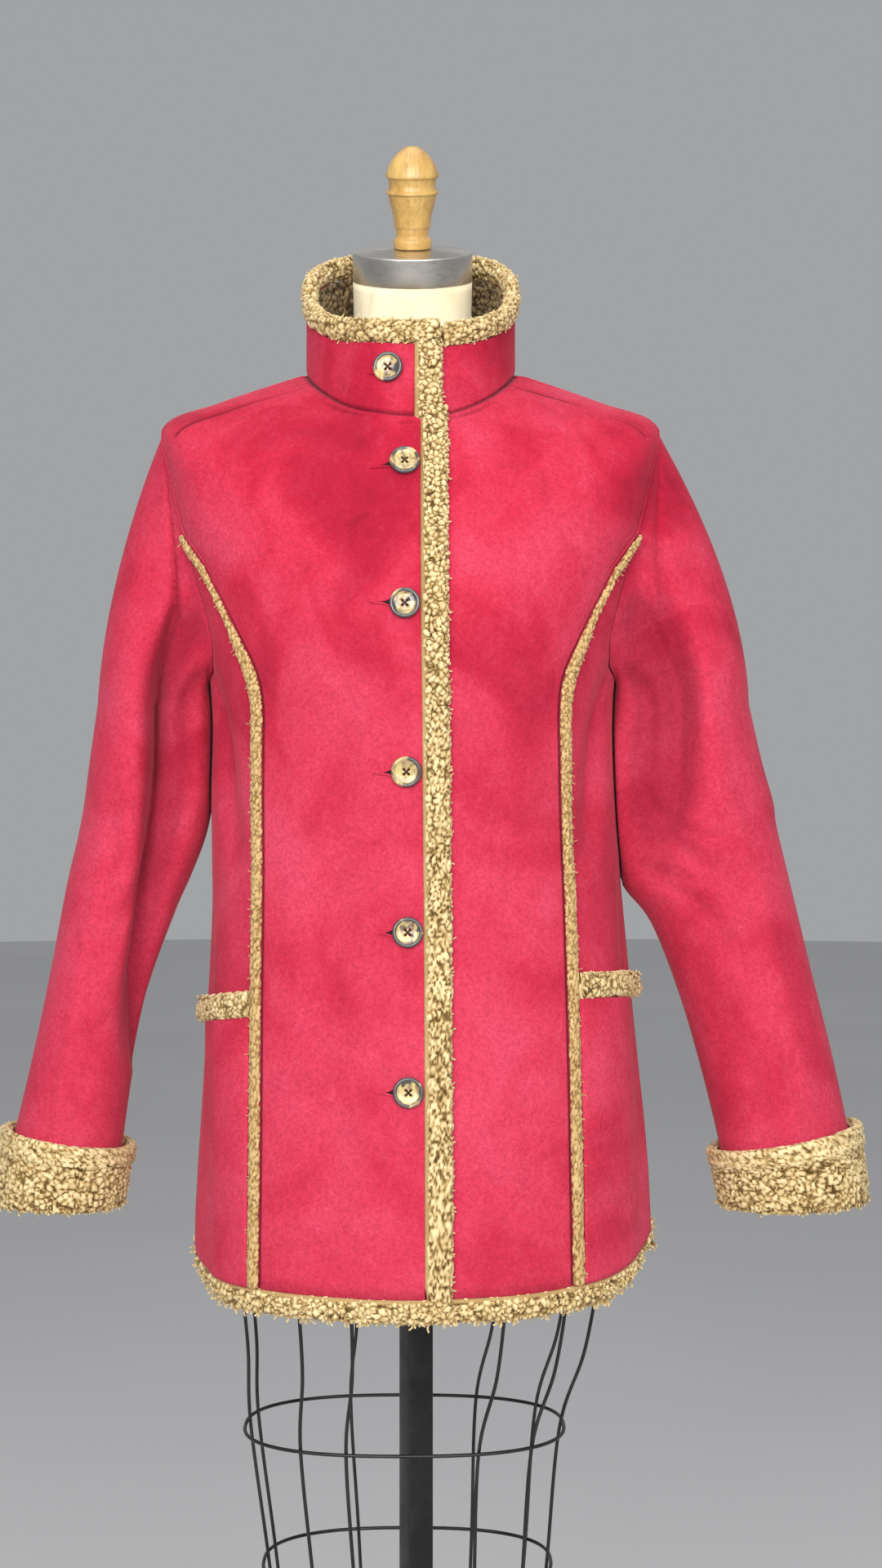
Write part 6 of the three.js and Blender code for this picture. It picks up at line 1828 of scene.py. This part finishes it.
def topstitching():
    """A line of stitches beside each armhole, on the front and on the back."""
    parts = []
    for side in (-1, 1):
        for steps, outermost, lifted, seed in (
            (np.linspace(0, PRINCESS_STEP, 60), min, side < 0, 301),
            (np.linspace(SIDE_STEP, ARMHOLE_STEPS, 150), max, False, 305),
        ):
            angle, level = armhole_place(steps)
            lines = [inset(side * angle, level, STITCH_IN * sign) for sign in (-1, 1)]
            angles, levels = outermost(lines, key=lambda line: np.mean(np.abs(line[0])))
            lift = lift_at(smooth_body(angles, levels)) * lifted
            path = body_point(angles, levels, lift - STITCH_SUNK)
            parts += stitches(path, body_normal(angles, levels), seed + side)
    plain_piece("armhole_topstitch", *together(parts), SEWING, "suede")


topstitching()


# ---------------------------------------------------------------- dress form
FORM = table(
    RING,
    (1493.1, 1509.2, 1527.3, 50.3, 44.2, 50.5, 2, 1),
    (1452, 1472, 1492, 50, 50, 52, 2, 1.2),
    (1414, 1443, 1462, 55, 60, 55, 2, 1.3),
    (1386, 1429, 1449, 74, 78, 62, 2, 1.4),
)
FORM_BODY = table(
    RING,
    (1300, 1352, 1350, 186, 117, 94, 2.6, 2), (1262, 1290, 1300, 176, 128, 98, 2.5, 2),
    (1222, 1232, 1240, 162, 137, 98, 2.4, 2), (1170, 1170, 1170, 150, 131, 92, 2.3, 2),
    (1110, 1110, 1110, 138, 112, 82, 2.2, 2), (1040, 1040, 1040, 128, 98, 76, 2.2, 2),
    (960, 960, 960, 146, 108, 96, 2.2, 2), (870, 870, 870, 163, 118, 118, 2.3, 2),
    (775, 775, 775, 166, 120, 122, 2.3, 2),
)
FORM_SHOULDER = ((1.0, 1.5), (1.5, 2), (2.0, 3), (2.45, 5))
CAP_CENTRE, NECK_LEAN = np.array([0, -5, 1533.0]), 20


def form_rings(rows, angles):
    return [ring_point(dict(zip(rows, row)), angles) for row in zip(*rows.values())]


def form_torso():
    angles = np.arange(90) * 4.0
    rows = form_rings(FORM, angles)
    for level, clear in FORM_SHOULDER:
        rows.append(smooth_body(angles, level) - body_normal(angles, level) * (CLOTH + clear))
    rows = np.array([*rows, *form_rings(FORM_BODY, angles)])
    place = np.concatenate([np.linspace(0, 4, 25), np.linspace(4, len(rows) - 1, 31)[1:]])
    fine = np.stack([np.stack([along(rows[:, c, k], place) for c in range(90)], axis=-1) for k in range(3)], axis=-1)
    seams = hump((angles + 180) % 360 - 180, 0, 1.6) + hump(angles, 180, 1.6)  # down the front and the back
    fine = fine + unit(fine.mean(axis=1, keepdims=True) - fine) * (0.5 * seams)[None, :, None]
    return plain_piece("form_torso", *tube(fine), LINEN, "linen", "form_torso")


def neck_axis():
    lean = math.radians(90 + NECK_LEAN)
    return np.array([0, math.cos(lean), math.sin(lean)])


NECK_CAP = (
    (0, -24), (50.1, -24), (50.4, -23.7), (50.5, -23.2), (50.5, -1.4), (50.5, -0.7), (50.3, -0.3), (49.9, -0.1),
    (49.2, 0), (48.6, 0), (44, 0.4), (36, 1.2), (25, 2.0), (12, 2.8), (0, 3),
)
FINIAL = (
    (0, 15.6), (5.8, 16.1), (8.4, 14.8), (10.4, 13.6), (16, 14.2), (18.4, 15.3), (27.3, 16.2), (35.6, 18.6),
    (43.6, 20.4), (44.7, 21.9), (46.5, 21.9), (47.7, 20.4), (51.6, 19.4), (56.5, 20.2), (58.1, 21.9), (60.5, 21.9),
    (64.5, 20.6), (69.4, 18.4), (74.3, 15), (78.8, 10.6), (81.9, 6), (82.8, 3.2),
)
FINIAL_TOP, FINIAL_LIFT = 83.1, 3.3


def neck_pieces():
    """The form's neck cap and the turned finial on it."""
    axis = neck_axis()
    points, faces = lathe(NECK_CAP, 128)
    plain_piece("form_cap", turned(points, axis, CAP_CENTRE), faces, STEEL, "neck_cap", "form_cap")
    height, radius = np.array(FINIAL).T
    place = np.linspace(0, len(height) - 1, 84)
    points, faces = lathe([(0, 0), *zip(along(radius, place), along(height, place)), (0, FINIAL_TOP)], 72)
    points = turned(points, axis, CAP_CENTRE + axis * FINIAL_LIFT)
    plain_piece("form_finial", points, faces, WOOD, "finial", "form_finial")


CAGE = table(
    "height across half_width half_depth",
    (774.6, 3, 160, 108), (690, 5, 154, 104), (609, 2.8, 143, 96), (543, -6.8, 131, 88.5), (428, -4.5, 117.8, 80),
    (313, -3, 105, 72),
)
CAGE_ANGLES = (22.8, 49.6, 88, 123.6, 157, 197, 253, 268, 325.3, 344.3)
CAGE_ROUNDNESS, CAGE_BACK, WIRE = 2.5, 4.5, 3.0


def cage_point(place, angle, grow):
    oval = ring_at(CAGE, place)
    power = 2 / CAGE_ROUNDNESS
    sine, cosine = np.sin(np.radians(angle)), np.cos(np.radians(angle))
    return stack(
        oval["across"] + (oval["half_width"] + grow) * np.sign(sine) * np.abs(sine) ** power,
        CAGE_BACK - (oval["half_depth"] + grow) * np.sign(cosine) * np.abs(cosine) ** power,
        oval["height"],
    )


def cage(wire_points=44, hoop_points=220):
    for number, angle in enumerate(CAGE_ANGLES, 1):
        path = cage_point(np.linspace(0, 5, wire_points), angle, 0.0)
        name = f"cage_wire_{number}"
        plain_piece(name, *tube(cord_sections(path, WIRE / 2, 10)), WIRE_BLACK, "wire", name)
    up = np.array([[0, 0, 1.0]])
    for number, oval in enumerate((3, 4, 5), 1):
        angle = degrees_round(hoop_points) + 0.01
        path = cage_point(np.full(hoop_points, float(oval)), angle, WIRE + 0.5)
        out = np.cross(unit(np.roll(path, -1, axis=0) - np.roll(path, 1, axis=0)), up)
        loop = rings_about(path, out, up, WIRE / 2, 12)
        name = f"cage_hoop_{number}"
        plain_piece(name, loop.reshape(-1, 3), ring_faces(*loop.shape[:2]), WIRE_BLACK, "wire", name)


def bevelled_box(low, high, half, turn, bevel=1.6):
    corners = []
    for x, y in ((1, 1), (-1, 1), (-1, -1), (1, -1)):
        start = math.atan2(y, x) - math.pi / 4
        for step in range(5):
            a = start + math.pi / 2 * step / 4
            corners.append((x * (half - bevel) + bevel * math.cos(a), y * (half - bevel) + bevel * math.sin(a)))
    corners = np.array(corners)
    c, s = math.cos(math.radians(turn)), math.sin(math.radians(turn))
    corners = corners @ np.array([[c, s], [-s, c]])
    levels = np.concatenate([[low, low + 0.8], np.linspace(low + 20, high - 20, 20), [high - 0.8, high]])
    scale = np.concatenate([[0.94], np.ones(22), [0.94]])[:, None]
    return stack(corners[:, 0] * scale, corners[:, 1] * scale, levels[:, None])


POLE_LOW, POLE_HIGH, POLE_HALF, POLE_TURN = 76.3, 768.4, 11, 26
FLANGE = ((0, 768.7), (46.5, 768.7), (48, 769.7), (48, 773.4), (47, 774.7), (0, 774.7))
BASE = (
    (0, 0), (218.5, 0), (220, 1.2), (220, 8), (219, 10.8), (216.5, 13), (214, 14), (150, 17), (100, 19.4), (60, 21),
    (40, 23), (34, 24.6), (31, 28), (30, 32), (28, 52), (26.5, 72), (25.6, 75), (24, 76), (0, 76),
)


def stand():
    for name, (points, faces), material, slot in (
        ("pole", tube(bevelled_box(POLE_LOW, POLE_HIGH, POLE_HALF, POLE_TURN)), STAND_BLACK, "stand"),
        ("pole_flange", lathe(FLANGE, 72), STAND_BLACK, "stand"),
        ("base", lathe(BASE, 160), BASE_BLACK, "base"),
    ):
        plain_piece(name, points - (ACROSS_SHIFT, 0, 0), faces, material, slot, name)


torso = form_torso()
neck_pieces()
cage()
stand()


# ---------------------------------------------------------------- cloth sheets
state_sheet(front_right, front_right_cut)
state_sheet(front_left, front_left_cut)
state_sheet(back, back_cut)
state_sheet(side_front_right, side_front_right_cut)
state_sheet(side_front_left, side_front_left_cut)
state_sheet(sleeve_right, sleeve_right_cut)
state_sheet(sleeve_left, sleeve_left_cut)
state_sheet(cuff_right, cuff_right_cut)
state_sheet(cuff_left, cuff_left_cut)
state_sheet(collar, collar_cut)
state_sheet(lining, lining_cut)
state_sheet(pocket_right, pocket_right_cut)
state_sheet(pocket_left, pocket_left_cut)


# ---------------------------------------------------------------- light and floor
FLOOR_RADIUS, FLOOR_HEIGHT = 14000.0, -0.2


def floor():
    material, s, surface = new_material("pale_floor", Roughness=0.9)
    place = s.place()
    shade = s.noise(place, 0.6, 2, 0.5)
    dress(s, surface, s.mix(s.spread(shade, 0.3, 0.7), (0.66, 0.66, 0.665, 1), (0.7, 0.7, 0.705, 1)))
    angle = circle(96)
    points = stack(FLOOR_RADIUS * np.cos(angle), FLOOR_RADIUS * np.sin(angle), FLOOR_HEIGHT)
    mesh = bpy.data.meshes.new("floor")
    mesh.from_pydata((points * METRES).tolist(), [], [list(range(len(angle)))])
    mesh.materials.append(material)
    made = bpy.data.objects.new("floor", mesh)
    bpy.context.scene.collection.objects.link(made)


def area_light(name, place, target, size, power, spread=180):
    data = bpy.data.lights.new(name, "AREA")
    data.shape = "RECTANGLE"
    data.size, data.size_y = size
    data.energy = power
    data.spread = math.radians(spread)
    made = bpy.data.objects.new(name, data)
    made.location = place
    aim = np.array(target) - np.array(place)
    made.rotation_euler = Vector(aim).to_track_quat("-Z", "Y").to_euler()
    bpy.context.scene.collection.objects.link(made)


floor()
area_light("window_right", (-0.8, -3.0, 1.9), (0, 0, 1.1), (1.6, 1.8), 31, 120)
area_light("window_left", (0.9, -2.9, 1.8), (0, 0, 1.1), (1.6, 1.8), 23, 120)
area_light("sky", (0.0, -0.6, 3.6), (0, 0, 1.0), (2.4, 2.4), 30)
world = bpy.data.worlds.new("room")
bpy.context.scene.world = world
world.use_nodes = True
background = world.node_tree.nodes["Background"].inputs
background["Color"].default_value = (0.86, 0.87, 0.89, 1)
background["Strength"].default_value = 0.42
bpy.context.scene.view_settings.view_transform = "Standard"
